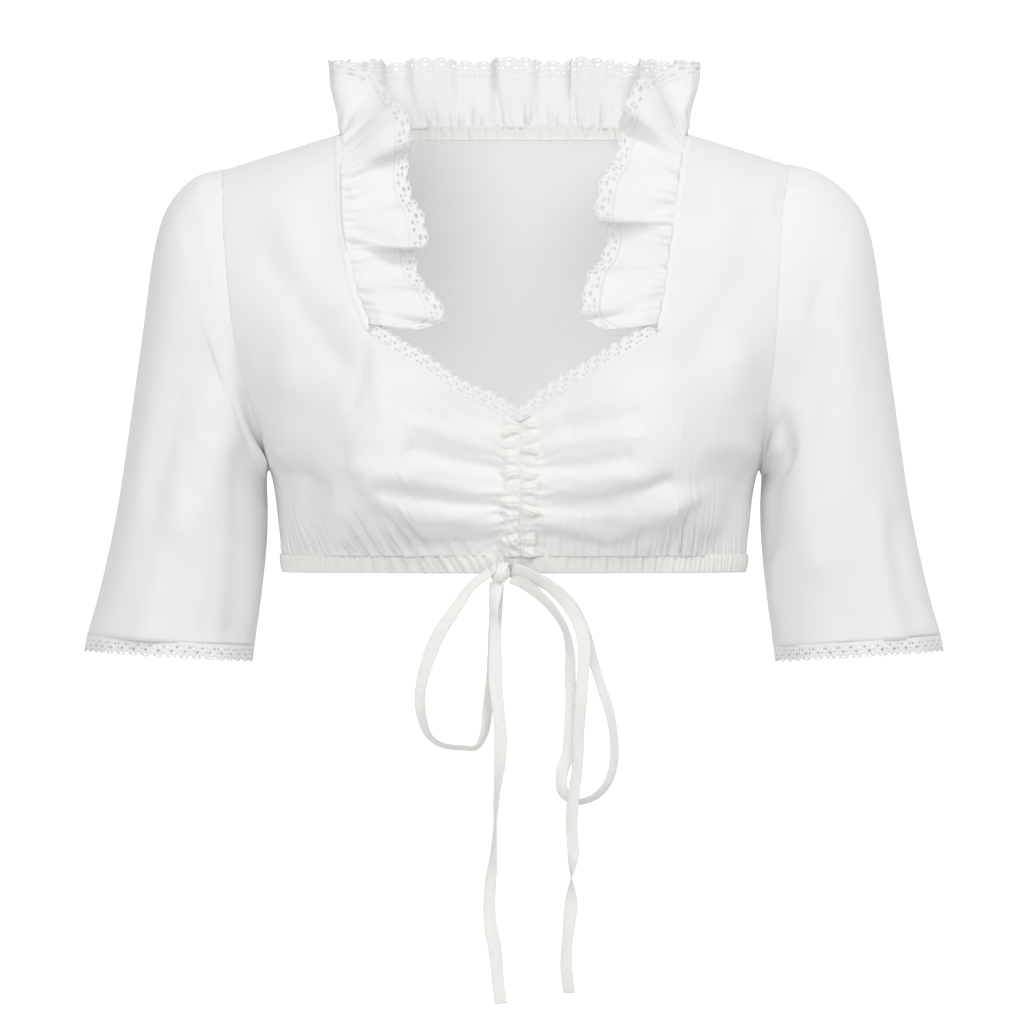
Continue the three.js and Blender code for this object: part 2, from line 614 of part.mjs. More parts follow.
// The gathered casing round the hem: a ring whose wall waves in and out.
function addHemCasing() {
  const columns = HEM_GATHERS * 2;
  addPiece('hem_casing', wallGeometry({
    columns,
    rows: 1,
    closed: true,
    thickness: CLOTH_WALL,
    point: (u, v) => {
      const angle = u * 2 * PI;
      const z = lerp(HEM_BOTTOM, HEM_TOP - SEAM_GAP - 0.1, v);
      const power = 2 / tableValue(BODY, 'z', 'square', z);
      const half = tableValue(BODY, 'z', 'halfWidth', z);
      const depth = tableValue(BODY, 'z', cos(angle) > 0 ? 'front' : 'back', z);
      return vector(
        half * sign(sin(angle)) * abs(sin(angle)) ** power,
        -depth * sign(cos(angle)) * abs(cos(angle)) ** power,
        z,
      );
    },
    relief: (u) => {
      const column = Math.round(u * columns);
      return (column % 2 ? 1 : -1) * HEM_GATHER_DEPTH * (0.7 + 0.3 * sin(column * 1.7));
    },
  }), COTTON);
}

// A ruched channel beside the centre seam, lying on its front and puckered by the drawstring.
function addChannel(name, side) {
  const rows = CHANNEL_PUCKERS * 2;
  const clearance = CLOTH_WALL / 2 + CHANNEL_CLEARANCE + TRIM_WALL / 2;
  addPiece(name, wallGeometry({
    columns: 2,
    rows,
    thickness: TRIM_WALL,
    point: (u, v) => {
      const x = CENTRE_X + side * lerp(0.4, CHANNEL_WIDTH, u);
      const top = CENTRE_TOP - 3 + u * 5;
      const z = lerp(HEM_TOP + 1, top, v);
      const pucker = Math.round(v * rows) % 2;
      const swell = u === 0.5 ? 1.2 : 0.2;
      return onFront(side, x, z, clearance + CHANNEL_PUCKER_HEIGHT * pucker + swell);
    },
  }), COTTON);
}

// The narrow binding on a front, just outside the neck edge.
function addBinding(name, side) {
  const edge = edgeCurve(NECK_EDGE[side]);
  const clearance = CLOTH_WALL / 2 + SEAM_GAP + TRIM_WALL / 2 + 0.2;
  addPiece(name, wallGeometry({
    ...MESH.binding,
    thickness: TRIM_WALL,
    point: (u, v) => {
      const spot = edge.getPointAt(lerp(0.02, 0.93, v));
      return onFront(side, spot.x + side * lerp(0.6, BINDING_WIDTH, u), spot.z, clearance);
    },
  }), COTTON);
}

// The lace that stands above the sweetheart edge, in one piece from corner to corner.
function addNecklineLace(name) {
  const right = [...SWEETHEART_EDGE[RIGHT]].reverse();
  const edge = edgeCurve([...right.slice(0, -1), ...SWEETHEART_EDGE[LEFT]]);
  addPiece(name, wallGeometry({
    ...MESH.necklineLace,
    thickness: LACE_WALL,
    point: (u, v) => {
      const along = lerp(0.02, 0.98, u);
      const spot = edge.getPointAt(along);
      const tangent = edge.getTangentAt(along);
      const height = lerp(NECKLINE_LACE_START, NECKLINE_LACE_HEIGHT, v);
      const side = spot.x < CENTRE_X ? RIGHT : LEFT;
      return onFront(side, spot.x - tangent.z * height, spot.z + tangent.x * height, 0);
    },
  }), LACE);
}

// The height of the gathered band above the back's neck edge.
const bandHeight = (x) => lerp(NECK_BAND_HEIGHT, NECK_BAND_END_HEIGHT, (abs(x) / NECK_HALF_WIDTH) ** 4);

// The line of the back's neck edge, from side to side, spread by the angle round the neck.
function backNeckPoint(share) {
  const x = -NECK_HALF_WIDTH * cos(share * PI);
  const z = backTopZ(x);
  return vector(x, backY(x, z), z);
}

function addNeckBand() {
  const columns = BAND_GATHERS * 2;
  addPiece('neck_band_back', wallGeometry({
    columns,
    rows: 1,
    thickness: CLOTH_WALL,
    point: (u, v) => {
      const spot = backNeckPoint(lerp(0.012, 0.988, u));
      spot.z += lerp(SEAM_GAP + 0.3, bandHeight(spot.x), v);
      return spot;
    },
    relief: (u) => {
      const gather = Math.round(u * columns) % 2 ? BAND_GATHER_DEPTH : -BAND_GATHER_DEPTH;
      return gather * smooth((1 - abs(2 * u - 1)) / 0.1);
    },
  }), COTTON);
}

// The seam of the ruffle: up the right neck edge, round the top of the neck band and down the left.
function ruffleSeam() {
  const frontStretch = (side) => {
    const edge = edgeCurve(NECK_EDGE[side]);
    return [0.05, 0.15, 0.26, 0.37, 0.48, 0.6, 0.72, 0.82, 0.9, 0.955].map((t) => {
      const spot = edge.getPointAt(t);
      const clear = lerp(1.3, 0.8, smooth(t / 0.26));
      return onFront(side, spot.x - side * clear, spot.z, 0);
    });
  };
  const backStretch = [];
  for (let k = 1; k < 18; k += 1) {
    const spot = backNeckPoint(k / 18);
    backStretch.push(spot.add(vector(0, 0, bandHeight(spot.x) + SEAM_GAP + 0.3)));
  }
  const corner = (side) => vector(side * (NECK_HALF_WIDTH - 0.5), 0, NECK_POINT_Z + NECK_BAND_END_HEIGHT);
  return new THREE.CatmullRomCurve3([...frontStretch(RIGHT), corner(RIGHT), ...backStretch, corner(LEFT),
    ...frontStretch(LEFT).reverse()], false, 'centripetal');
}

const RUFFLE_SEAM = ruffleSeam();
const RUFFLE_SEAM_LENGTH = RUFFLE_SEAM.getLength();

// How far round the back a place of the ruffle's seam is, from 0 at the front to 1 past the shoulder.
const ruffleBack = (spot) => smooth((spot.y + 22) / 22);

// The way the ruffle grows from its seam: level across the opening low down at the front, turning up
// towards the shoulder, and up and a little out all round the back.
function ruffleDirection(spot) {
  const side = sign(spot.x);
  const angle = tableValue(RUFFLE_LEAN, 'z', 'angle', spot.z) * PI / 180;
  const front = vector(-side * cos(angle), 0, sin(angle));
  const outward = vector(0.1 * spot.x / NECK_HALF_WIDTH, 0.26, 1).normalize();
  return front.lerp(outward, ruffleBack(spot)).normalize();
}

// A point of the ruffle: how far along its seam and how far out from it, both in millimetres. Its lobes
// swing in and out, slip sideways so that one lies over the next, and reach furthest where they stand out.
function rufflePoint(length, reach) {
  const along = clamp(length / RUFFLE_SEAM_LENGTH, 0, 1);
  const spot = RUFFLE_SEAM.getPointAt(along);
  const tangent = RUFFLE_SEAM.getTangentAt(along);
  const direction = ruffleDirection(spot);
  const normal = tangent.clone().cross(direction).normalize();
  const back = ruffleBack(spot);
  const lobe = (size) => lerp(RUFFLE_FRONT_LOBE[size], RUFFLE_BACK_LOBE[size], back);
  const turn = tableValue(RUFFLE_TURNS, 'length', 'turns', length) * 2 * PI;
  const end = smooth(min(length, RUFFLE_SEAM_LENGTH - length) / RUFFLE_END_FADE);
  const open = smooth(reach / RUFFLE_HEIGHT);
  const swing = sin(turn) * (RUFFLE_SEAM_SWING + lobe('swing') * open) * end;
  const down = lerp(-sign(spot.x), -1, back);
  const slip = (down * lobe('slip') * sin(turn) - lobe('overlap') * sin(2 * turn)) * open * end;
  const stretch = 1 - lobe('stretch') * sin(turn) * open;
  const low = 1 - smooth((spot.z + 128) / 35);
  const forward = spot.y < -40 ? RUFFLE_FORWARD * smooth(reach / 12) * low : 0;
  return spot.addScaledVector(direction, reach * stretch).addScaledVector(normal, swing)
    .addScaledVector(tangent, slip).add(vector(0, -forward, 0));
}

// The ruffle's height at a place along its seam, rounded off at both ends.
function ruffleHeight(length) {
  const end = clamp(min(length, RUFFLE_SEAM_LENGTH - length) / RUFFLE_CORNER, 0, 1);
  return RUFFLE_HEIGHT * lerp(RUFFLE_CORNER_START, 1, sqrt(1 - (1 - end) ** 2));
}

function addRuffle() {
  addPiece('neck_ruffle', wallGeometry({
    ...MESH.ruffle,
    thickness: TRIM_WALL,
    point: (u, v) => {
      const length = u * RUFFLE_SEAM_LENGTH;
      return rufflePoint(length, lerp(0, ruffleHeight(length), v));
    },
  }), COTTON);
  addPiece('ruffle_lace', wallGeometry({
    ...MESH.ruffleLace,
    thickness: LACE_WALL,
    point: (u, v) => {
      const length = u * RUFFLE_SEAM_LENGTH;
      const start = ruffleHeight(length) + RUFFLE_LACE_GAP;
      return rufflePoint(length, lerp(start, start + RUFFLE_LACE_HEIGHT, v));
    },
  }), LACE);
}

// A flat tape swept along a route, its width turned from the front view by each row's angle.
function addTape(name, route) {
  const places = route.map((row) => vector(row.x, row.y, row.z));
  const curve = new THREE.CatmullRomCurve3(places, false, 'centripetal');
  const steps = Math.round(curve.getLength() / (2 * TAPE_WIDTH));
  const corners = [];
  for (let k = 0; k <= steps; k += 1) {
    const t = curve.getUtoTmapping(k / steps);
    const spot = curve.getPoint(t);
    const tangent = curve.getTangent(t);
    const place = t * (route.length - 1);
    const row = min(Math.floor(place), route.length - 2);
    const turn = lerp(route[row].turn, route[row + 1].turn, place - row) * PI / 180;
    const flat = tangent.clone().cross(vector(0, -1, 0)).normalize();
    const across = flat.applyAxisAngle(tangent, turn);
    const through = tangent.clone().cross(across).normalize();
    for (let i = 0; i < TAPE_SIDES; i += 1) {
      const angle = (i + 0.5) * 2 * PI / TAPE_SIDES;
      const wide = sign(cos(angle)) * abs(cos(angle)) ** TAPE_SQUARENESS * TAPE_WIDTH / 2;
      const thick = sign(sin(angle)) * abs(sin(angle)) ** TAPE_SQUARENESS * TAPE_THICKNESS / 2;
      corners.push(spot.clone().addScaledVector(across, wide).addScaledVector(through, thick));
    }
  }
  const faces = [];
  for (let k = 0; k < steps; k += 1) {
    for (let i = 0; i < TAPE_SIDES; i += 1) {
      const next = (i + 1) % TAPE_SIDES;
      const [a, b] = [k * TAPE_SIDES + i, k * TAPE_SIDES + next];
      faces.push(a, b, b + TAPE_SIDES, a, b + TAPE_SIDES, a + TAPE_SIDES);
    }
  }
  const last = steps * TAPE_SIDES;
  for (let i = 1; i < TAPE_SIDES - 1; i += 1) {
    faces.push(0, i + 1, i, last, last + i, last + i + 1);
  }
  addPiece(name, solidGeometry(corners, faces), TAPE);
}

// The knot of the bow: a rounded lump.
function addKnot() {
  const corners = [];
  for (let j = 1; j < KNOT_RINGS; j += 1) {
    const tilt = j / KNOT_RINGS * PI;
    for (let i = 0; i < KNOT_SIDES; i += 1) {
      const angle = i / KNOT_SIDES * 2 * PI;
      const plump = sin(tilt) ** KNOT.plumpness;
      corners.push(vector(
        KNOT.x - KNOT.halfX * cos(tilt),
        KNOT.y + KNOT.halfY * plump * cos(angle),
        KNOT.z + KNOT.halfZ * plump * sin(angle),
      ));
    }
  }
  corners.push(vector(KNOT.x - KNOT.halfX, KNOT.y, KNOT.z), vector(KNOT.x + KNOT.halfX, KNOT.y, KNOT.z));
  const faces = [];
  const index = (i, j) => (j - 1) * KNOT_SIDES + (i % KNOT_SIDES);
  const [start, end] = [corners.length - 2, corners.length - 1];
  for (let i = 0; i < KNOT_SIDES; i += 1) {
    for (let j = 1; j < KNOT_RINGS - 1; j += 1) {
      faces.push(index(i, j), index(i + 1, j), index(i + 1, j + 1));
      faces.push(index(i, j), index(i + 1, j + 1), index(i, j + 1));
    }
    faces.push(start, index(i + 1, 1), index(i, 1));
    faces.push(end, index(i, KNOT_RINGS - 1), index(i + 1, KNOT_RINGS - 1));
  }
  addPiece('bow_knot', solidGeometry(corners, faces), TAPE);
}

addFront('front_right', RIGHT);
addFront('front_left', LEFT);
addBack();
addSleeve('sleeve_right', RIGHT);
addSleeve('sleeve_left', LEFT);
addHemCasing();
addChannel('channel_right', RIGHT);
addChannel('channel_left', LEFT);
addBinding('neck_binding_right', RIGHT);
addBinding('neck_binding_left', LEFT);
addNeckBand();
addRuffle();
addNecklineLace('neckline_lace');
addCuffLace('cuff_lace_right', RIGHT);
addCuffLace('cuff_lace_left', LEFT);
for (const [name, route] of Object.entries(TAPE_ROUTES)) addTape(name, route);
addKnot();

export default blouse;
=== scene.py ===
"""A white dirndl blouse, filled out as if worn, with ruffle, lace and a drawstring bow.

Sizes are in millimetres in the tables and functions, and become metres where a mesh is made.
+X is the wearer's left, the front faces -Y and +Z is up. Side -1 is the wearer's right.
"""
from math import radians

import bpy
import numpy as np
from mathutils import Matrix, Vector


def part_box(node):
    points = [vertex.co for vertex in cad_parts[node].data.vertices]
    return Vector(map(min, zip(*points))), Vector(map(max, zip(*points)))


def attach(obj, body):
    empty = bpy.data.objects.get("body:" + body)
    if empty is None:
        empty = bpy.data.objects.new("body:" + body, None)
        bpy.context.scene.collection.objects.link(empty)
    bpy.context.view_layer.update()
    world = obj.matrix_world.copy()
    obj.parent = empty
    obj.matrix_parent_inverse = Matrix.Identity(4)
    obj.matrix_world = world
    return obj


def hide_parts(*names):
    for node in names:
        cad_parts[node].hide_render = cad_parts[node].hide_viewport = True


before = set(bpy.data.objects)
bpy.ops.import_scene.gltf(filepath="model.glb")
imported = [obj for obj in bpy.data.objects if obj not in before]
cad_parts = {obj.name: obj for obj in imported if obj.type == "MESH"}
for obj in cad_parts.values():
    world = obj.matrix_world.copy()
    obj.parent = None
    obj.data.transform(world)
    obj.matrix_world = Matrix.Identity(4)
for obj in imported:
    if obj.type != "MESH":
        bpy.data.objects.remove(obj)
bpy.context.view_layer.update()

MM = 0.001
TURN = 2 * np.pi
RIGHT, LEFT = -1, 1
SIDE_NAMES = {RIGHT: "right", LEFT: "left"}

# Walls, gaps and the dips of the panels into their seams, as depth and width
CLOTH_THICKNESS = 0.75
TRIM_THICKNESS = 0.6
ARMHOLE_GAP = 0.15
UNDERARM_GAP = 1.5
UNDERARM_DROP = 0.9
SEAM_FADE = 16.0
FRONT_DIP = (0.3, 1.2)
BACK_DIP = (0.9, 1.6)
SLEEVE_DIP = (0.6, 1.3)

# Body and neck
HEM_BOTTOM = -295.0
HEM_TOP = -284.0
CENTRE_TOP = -194.0
CENTRE_X = 4.0
UNDERARM_Z = -226.0
NECK_HALF_WIDTH = 116.0
NECK_POINT_Z = -1.0
SHOULDER_SLOPE = 0.31
SHOULDER_ROUNDING = 48.0
BACK_NECK_RISE = 0.5
BACK_NECK_TURN = (60.0, 114.0)
BAND_HEIGHT = (9.5, 3.0)
CUP = dict(x=88.0, z=-216.0, lift=44.0, spread_x=44.0, up=55.0, down=44.0, side_start=0.72,
           side_fade=0.28, hem_fade=42.0)
COLUMNS_EVEN_OVER = 0.4
RELIEF_TOP_FADE = 30.0

# Widths that count the distance to a seam, and the radius that stands for the hem
FRONT_SPAN = 150.0
BACK_SPAN = 400.0
HEM_CIRCLE = 155.0

# Trims
CHANNEL_WIDTH = 11.5
CHANNEL_PINCHES = {
    RIGHT: (-193.5, -198, -205, -214, -224.5, -233.5, -244.5, -252.5, -260.5, -268.5, -277.5, -287),
    LEFT: (-192, -201.5, -211, -217, -225.5, -235, -244, -250, -257.5, -268, -276.5, -287)}
CHANNEL = dict(lift=1.2, rise=0.3, puff=2.7, wrinkle=0.25, frill=2.4, draw_in=1.2, slant=1.6,
               sink=1.3, sink_from=0.72, sink_over=0.28)
BINDING = dict(width=6.0, overlap=1.2, lift=0.6, crown=0.3, wobble=0.35, start_share=0.25, share=0.67,
               widen_over=0.07, sink=0.95, sink_from=0.55, sink_over=0.45)
CASING = dict(overlap=1.2, slant=7, bunch_x=-50, bunch_width=40, bunch=0.9, least=0.75, swell=0.5,
              lean=0.7)
LACE_HEIGHT = 11.0
LACE_SCALLOP = 8.0
LACE_THICKNESS = 0.45
LACE_OVERLAP = 1.0
# The edges of the lace's rows of cells in shares of its height, and the holes in a repeat of three
# cells as cell, row and radius
LACE_ROWS = (0.0, 0.2, 0.45, 0.71, 1.0)
LACE_HOLES = [(0, 1, 0.6), (2, 1, 0.62), (1, 2, 0.95), (0, 2, 0.5), (1, 3, 0.8), (2, 3, 0.5)]
RUFFLE_HEIGHT = 38.0
RUFFLE_CORNER = 13.0
RUFFLE_FORWARD = 5.0
RUFFLE_TUCK = 1.4
RUFFLE_END_FADE = 25.0
RUFFLE_HEM = dict(depth=0.35, start=31.5, over=0.9)
PUCKER_REACH = 12.0
FRILL = dict(start=20, over=22)
SLEEVE_GIRTH = 320.0
SLEEVE_LENGTH = 300.0
SLEEVE_HEM = dict(depth=0.35, start=0.965, over=0.004)
# The sleeve's head: how far down it is pulled to the armhole and tucked in, where its folds start, and
# the height, reach down and spread round the top of its ease
HEAD = dict(pull=0.3, tuck=2.2, folds=0.12, ease=0.9, ease_reach=0.05, ease_spread=0.2)
TAPE_WIDTH = 9.0
TAPE_THICKNESS = 1.0
TAPE_SQUARENESS = 0.45
# The turn of tape over the knot: half width, slant, offset, thickness and its share of the knot's size
KNOT_TURN = dict(half_width=4.3, slant=1.6, offset=0.5, thickness=0.8, deep=0.92, high=0.96)

# Points across and along the mesh of each piece
GRID = dict(front=(180, 190), back=(170, 110), sleeve=(170, 120), casing=(1150, 13), channel=(22, 260),
            binding=(9, 200), band=(620, 11), ruffle=(1000, 25), tape=(20, 240), knot=(64, 40),
            knot_turn=(96, 17))

# Gathers as sums of waves, each with a height, a length and a start. Those of the casing close round it.
CASING_GIRTH = 960
WAVES = dict(
    wander_across=[(0.8, 47, 0.4), (0.5, 23, 2.1)],
    wander_down=[(0.7, 31, 1.2)],
    drawstring=[(1.0, 6.1, 0.3), (0.55, 9.7, 1.9), (0.35, 3.9, 0.2)],
    hem=[(0.8, 5.3, 0.0), (0.55, 8.9, 1.1), (0.3, 3.7, 2.0)],
    casing=[(0.75, CASING_GIRTH / 182, 0), (0.45, CASING_GIRTH / 109, 1.1), (0.3, CASING_GIRTH / 261, 2.0)],
    sleeve_ease=[(0.8, 9.0, 0.2), (0.4, 14.0, 1.0)],
    band=[(0.4, 5.2, 0.2), (0.3, 8.3, 1.4), (0.25, 3.4, 0.7)],
    puckers=[(1.1, 7.4, 0.5), (0.8, 5.1, 1.6), (0.6, 11.3, 0.3)],
    ruffle=[(0.8, 17.0, 0.4), (0.6, 11.9, 2.2), (0.5, 26.0, 1.1)],
    frill=[(0.5, 9.3, 0.7), (0.4, 14.1, 0.2)])

# How the drawstring's gathers fan out from its middle and where it pulls hardest
PULL = dict(fan_z=-243, fan_reach=75, reach=11, reach_swing=6, least=0.45, more=0.6, z=-252, width=16)

# How the gathers over the hem lean, and where they are strongest
HEM_PULL = {
    RIGHT: dict(lean=0.75, more=1.3, x=-85, width=60),
    LEFT: dict(lean=-0.15, more=1.1, x=110, width=42)}

# Cloths: name, lit and shaded colour, yarns a metre, depth of the weave and of the crumples in metres,
# the crumples' scale, and sheen
CLOTHS = {
    "cotton": ("white_cotton", (0.86, 0.853, 0.845), (0.82, 0.812, 0.802), 2400, 0.00008, 0.0008, 24, 0.12),
    "gathered": ("gathered_cotton", (0.86, 0.85, 0.83), (0.81, 0.8, 0.78), 2400, 0.00008, 0.0006, 60, 0.12),
    "thread": ("lace_thread", (0.878, 0.874, 0.88), (0.84, 0.84, 0.85), 4200, 0.0001, 0.0001, 300, 0.2),
    "tape": ("cotton_tape", (0.87, 0.86, 0.83), (0.82, 0.81, 0.78), 1500, 0.00015, 0.0005, 90, 0.15)}

# Camera, in metres: the frame's width where the front lies, and the place that the camera looks at
FRAME_WIDTH = 0.676
CAMERA_DISTANCE = 3.4
CAMERA_AIM = (-0.0013, 0, -0.2548)
FRONT_DEPTH = 0.06
SENSOR_WIDTH = 36

# Studio sweep in millimetres, and where its glow starts and is full, in metres
SWEEP = dict(points=40, front=-8000, back=6400, radius=100, floor=-1320, height=6000, half_width=7000)
SWEEP_GLOW = (6.3, 6.48, 0.62)
SURROUND = 0.6

# Lights, in metres: place, where it points, width, height and power in watts
LIGHTS = {
    "key": ((1.3, -1.9, 2.1), (0, 0, -0.25), 1.0, 1.0, 29),
    "front": ((-0.9, -3.0, 0.7), (0, 0, -0.25), 1.6, 1.6, 29),
    "inside": ((0, -0.05, -0.25), (0, 0.08, -0.1), 0.2, 0.06, 0.09)}


def table(columns, rows):
    """Rows of plain numbers as one array for each named column."""
    return dict(zip(columns.split(), np.array(rows, dtype=float).T))


BODY = table("z half front back square", [
    (-300, 154.2, 83, 75, 2.2), (-283, 155.5, 85, 77, 2.2), (-260, 158, 87, 80, 2.2),
    (-240, 160.5, 87, 82, 2.2), (-226, 164, 86, 84, 2.3), (-200, 177, 86, 85, 2.4),
    (-165, 194, 88, 86, 2.6), (-130, 211, 86, 85, 2.8), (-95, 220, 79, 80, 2.9),
    (-60, 222, 68, 74, 3), (-30, 222, 62, 71, 3), (0, 222, 58, 70, 3)])

NECK_EDGE = {
    RIGHT: table("x z", [(-94.5, -139), (-97, -127), (-102, -115), (-109, -86), (-113, -57),
                         (-114, -30), (-116, -1)]),
    LEFT: table("x z", [(93.5, -139), (96, -127), (99, -112), (102.5, -88), (106, -66),
                        (110, -34), (116, -1)])}

SWEETHEART_EDGE = {
    RIGHT: table("x z", [(4, -196), (-19, -185.5), (-42, -175), (-62, -160.5), (-80, -150), (-94.5, -139)]),
    LEFT: table("x z", [(4, -196), (27, -180), (49.5, -166), (71, -153), (84, -145.5), (93.5, -139)])}

ARMHOLE = {
    RIGHT: table("x z", [(-195, -25.5), (-191, -89), (-185.5, -137), (-177, -175), (-169, -205),
                         (-164, -226)]),
    LEFT: table("x z", [(184, -22.1), (177.5, -60), (175, -106), (171.5, -158), (167, -192), (164, -226)])}

SLEEVE = table("t outer_x outer_z inner_x inner_z depth", [
    (0, 196, -26, 166, -227, 57), (0.12, 215, -31, 166.6, -231, 57), (0.25, 232, -50, 166.4, -237, 56),
    (0.36, 241, -78, 166, -244, 55), (0.5, 248.5, -132, 165.8, -255, 54), (0.64, 257, -193, 166.4, -273, 52),
    (0.78, 266, -253, 168.5, -297, 50), (0.9, 276, -300, 171.5, -322, 47), (1, 286, -338, 175, -345, 45)])

FRONT_ROWS = table("v inner outer", [
    (0, 0, 0), (0.33, 0.66, 1), (0.5, 1, 1.17), (0.68, 2, 1.42), (0.86, 2.8, 1.87)])

# How many waves of the ruffle have passed at each length of its seam
RUFFLE_TURNS = table("length turns", [
    (0, 0.35), (18, 0.75), (70, 1.75), (125, 2.75), (172, 3.75), (212, 4.75), (250, 5.75), (262, 6),
    (280, 6.3), (330, 7.2), (375, 8.1), (420, 9), (455, 9.8), (490, 10.75), (525, 11.75), (578, 12.75),
    (637, 13.75), (667, 14.15)])
FRONT_LOBE = dict(swing=7.5, overlap=4.0, slip=6.5, stretch=0.1)
BACK_LOBE = dict(swing=4.6, overlap=2.4, slip=3.0, stretch=0.0)

RUFFLE_LEAN = table("z angle", [(-133, -9), (-118, -7), (-98, 0), (-70, 3), (-45, 12), (-30, 21),
                                (-14, 38), (-5, 66), (-1, 88)])

# Folds of the fronts, through three places. A positive height is a ridge, a negative one a trough.
FOLD_COLUMNS = "x1 z1 x2 z2 x3 z3 height width"
FRONT_FOLDS = {
    RIGHT: table(FOLD_COLUMNS, [
        (-104, -227, -62, -233, -12, -244, 3.6, 8), (-92, -240, -63, -260, -14, -260, 4.4, 8.5),
        (-64, -214, -40, -221, -8, -228, -3.4, 6), (-86, -240, -56, -246, -14, -251, -3.4, 5.5),
        (-58, -198, -30, -205, -4, -208, 2.4, 6), (-140, -205, -120, -240, -112, -270, 2.6, 9),
        (-152, -229, -138, -233, -124, -238, -4.2, 8), (-122, -42, -126, -68, -124, -95, -3, 14),
        (-92, -258, -60, -277, -16, -273, -3, 6.5)]),
    LEFT: table(FOLD_COLUMNS, [
        (18, -236, 48, -238, 84, -232, 3.0, 8), (20, -258, 66, -270, 114, -246, 4.6, 8.5),
        (22, -252, 58, -248, 100, -236, -3.8, 5.5), (22, -228, 48, -225, 72, -220, -2.8, 6),
        (38, -200, 58, -195, 76, -191, -2.6, 7), (22, -271, 62, -278, 96, -264, -3.0, 6),
        (150, -214, 138, -238, 130, -262, 2.8, 8), (168, -40, 148, -60, 128, -84, 2.6, 14)])}

# Finer folds that the drawstring and the hem pull into the cloth
FINE_FOLDS = {
    RIGHT: table(FOLD_COLUMNS, [
        (-16, -202, -36, -196, -58, -182, 1.2, 4), (-15, -214, -40, -208, -70, -196, 1.3, 4),
        (-15, -232, -34, -229, -62, -226, 1.4, 3.5), (-14, -253, -40, -256, -58, -250, 1.2, 3.2),
        (-14, -268, -44, -272, -80, -268, 1.5, 4.5), (-18, -276, -48, -281, -70, -284, 1.2, 3.5),
        (-112, -214, -104, -238, -84, -258, -1.2, 5), (-120, -232, -112, -252, -96, -270, 1.0, 5),
        (-128, -160, -140, -186, -150, -206, 1.3, 10), (-150, -214, -143, -240, -140, -268, 1.4, 5),
        (-182, -150, -168, -166, -150, -172, 1.2, 8), (-30, -266, -46, -262, -60, -262, -1.0, 3),
        (-104, -148, -84, -170, -52, -184, 0.8, 9), (-150, -60, -146, -90, -150, -120, 1.0, 12),
        (-148, -164, -154, -188, -148, -213, 5.5, 14), (-97, -150, -100, -166, -105, -184, -1.7, 5),
        (-88, -152, -90, -170, -86, -190, 1.4, 6), (-150, -66, -122, -108, -98, -138, 2.6, 13),
        (-160, -92, -136, -128, -112, -158, -2.4, 11)]),
    LEFT: table(FOLD_COLUMNS, [
        (22, -196, 44, -186, 64, -172, 1.2, 4), (22, -212, 46, -208, 82, -206, 1.3, 4),
        (22, -230, 46, -232, 74, -230, 1.3, 3.5), (22, -252, 44, -256, 74, -258, 1.2, 3.5),
        (24, -280, 60, -283, 90, -276, 1.2, 4), (84, -276, 96, -262, 104, -250, 1.2, 4),
        (100, -280, 110, -264, 116, -252, -1.3, 4), (116, -279, 124, -258, 126, -240, 1.5, 4.5),
        (134, -280, 140, -256, 138, -232, -1.3, 5), (104, -206, 112, -222, 108, -242, 1.0, 7),
        (160, -190, 150, -204, 132, -214, 1.3, 7), (112, -150, 96, -172, 70, -188, 0.8, 9),
        (150, -96, 144, -122, 150, -150, 0.9, 12), (160, -58, 140, -76, 118, -104, -1.2, 8),
        (144, -162, 150, -186, 146, -208, 4.5, 14), (142, -70, 118, -112, 98, -140, 2.2, 13),
        (152, -100, 130, -134, 108, -160, -1.8, 11)])}

BACK_FOLDS = table(FOLD_COLUMNS, [
    (-150, -60, -128, -110, -120, -170, 1.4, 12), (150, -70, 132, -120, 126, -170, 1.4, 12),
    (-60, -120, -52, -180, -58, -240, 1.2, 14), (40, -110, 34, -170, 42, -240, -1.2, 14),
    (-120, -200, -116, -235, -118, -270, 1.6, 8), (110, -205, 116, -240, 112, -272, 1.6, 8),
    (0, -200, 4, -235, 0, -275, 1.2, 10), (-160, -215, -140, -222, -120, -218, -1.5, 8),
    (160, -215, 142, -220, 122, -216, -1.5, 8)])

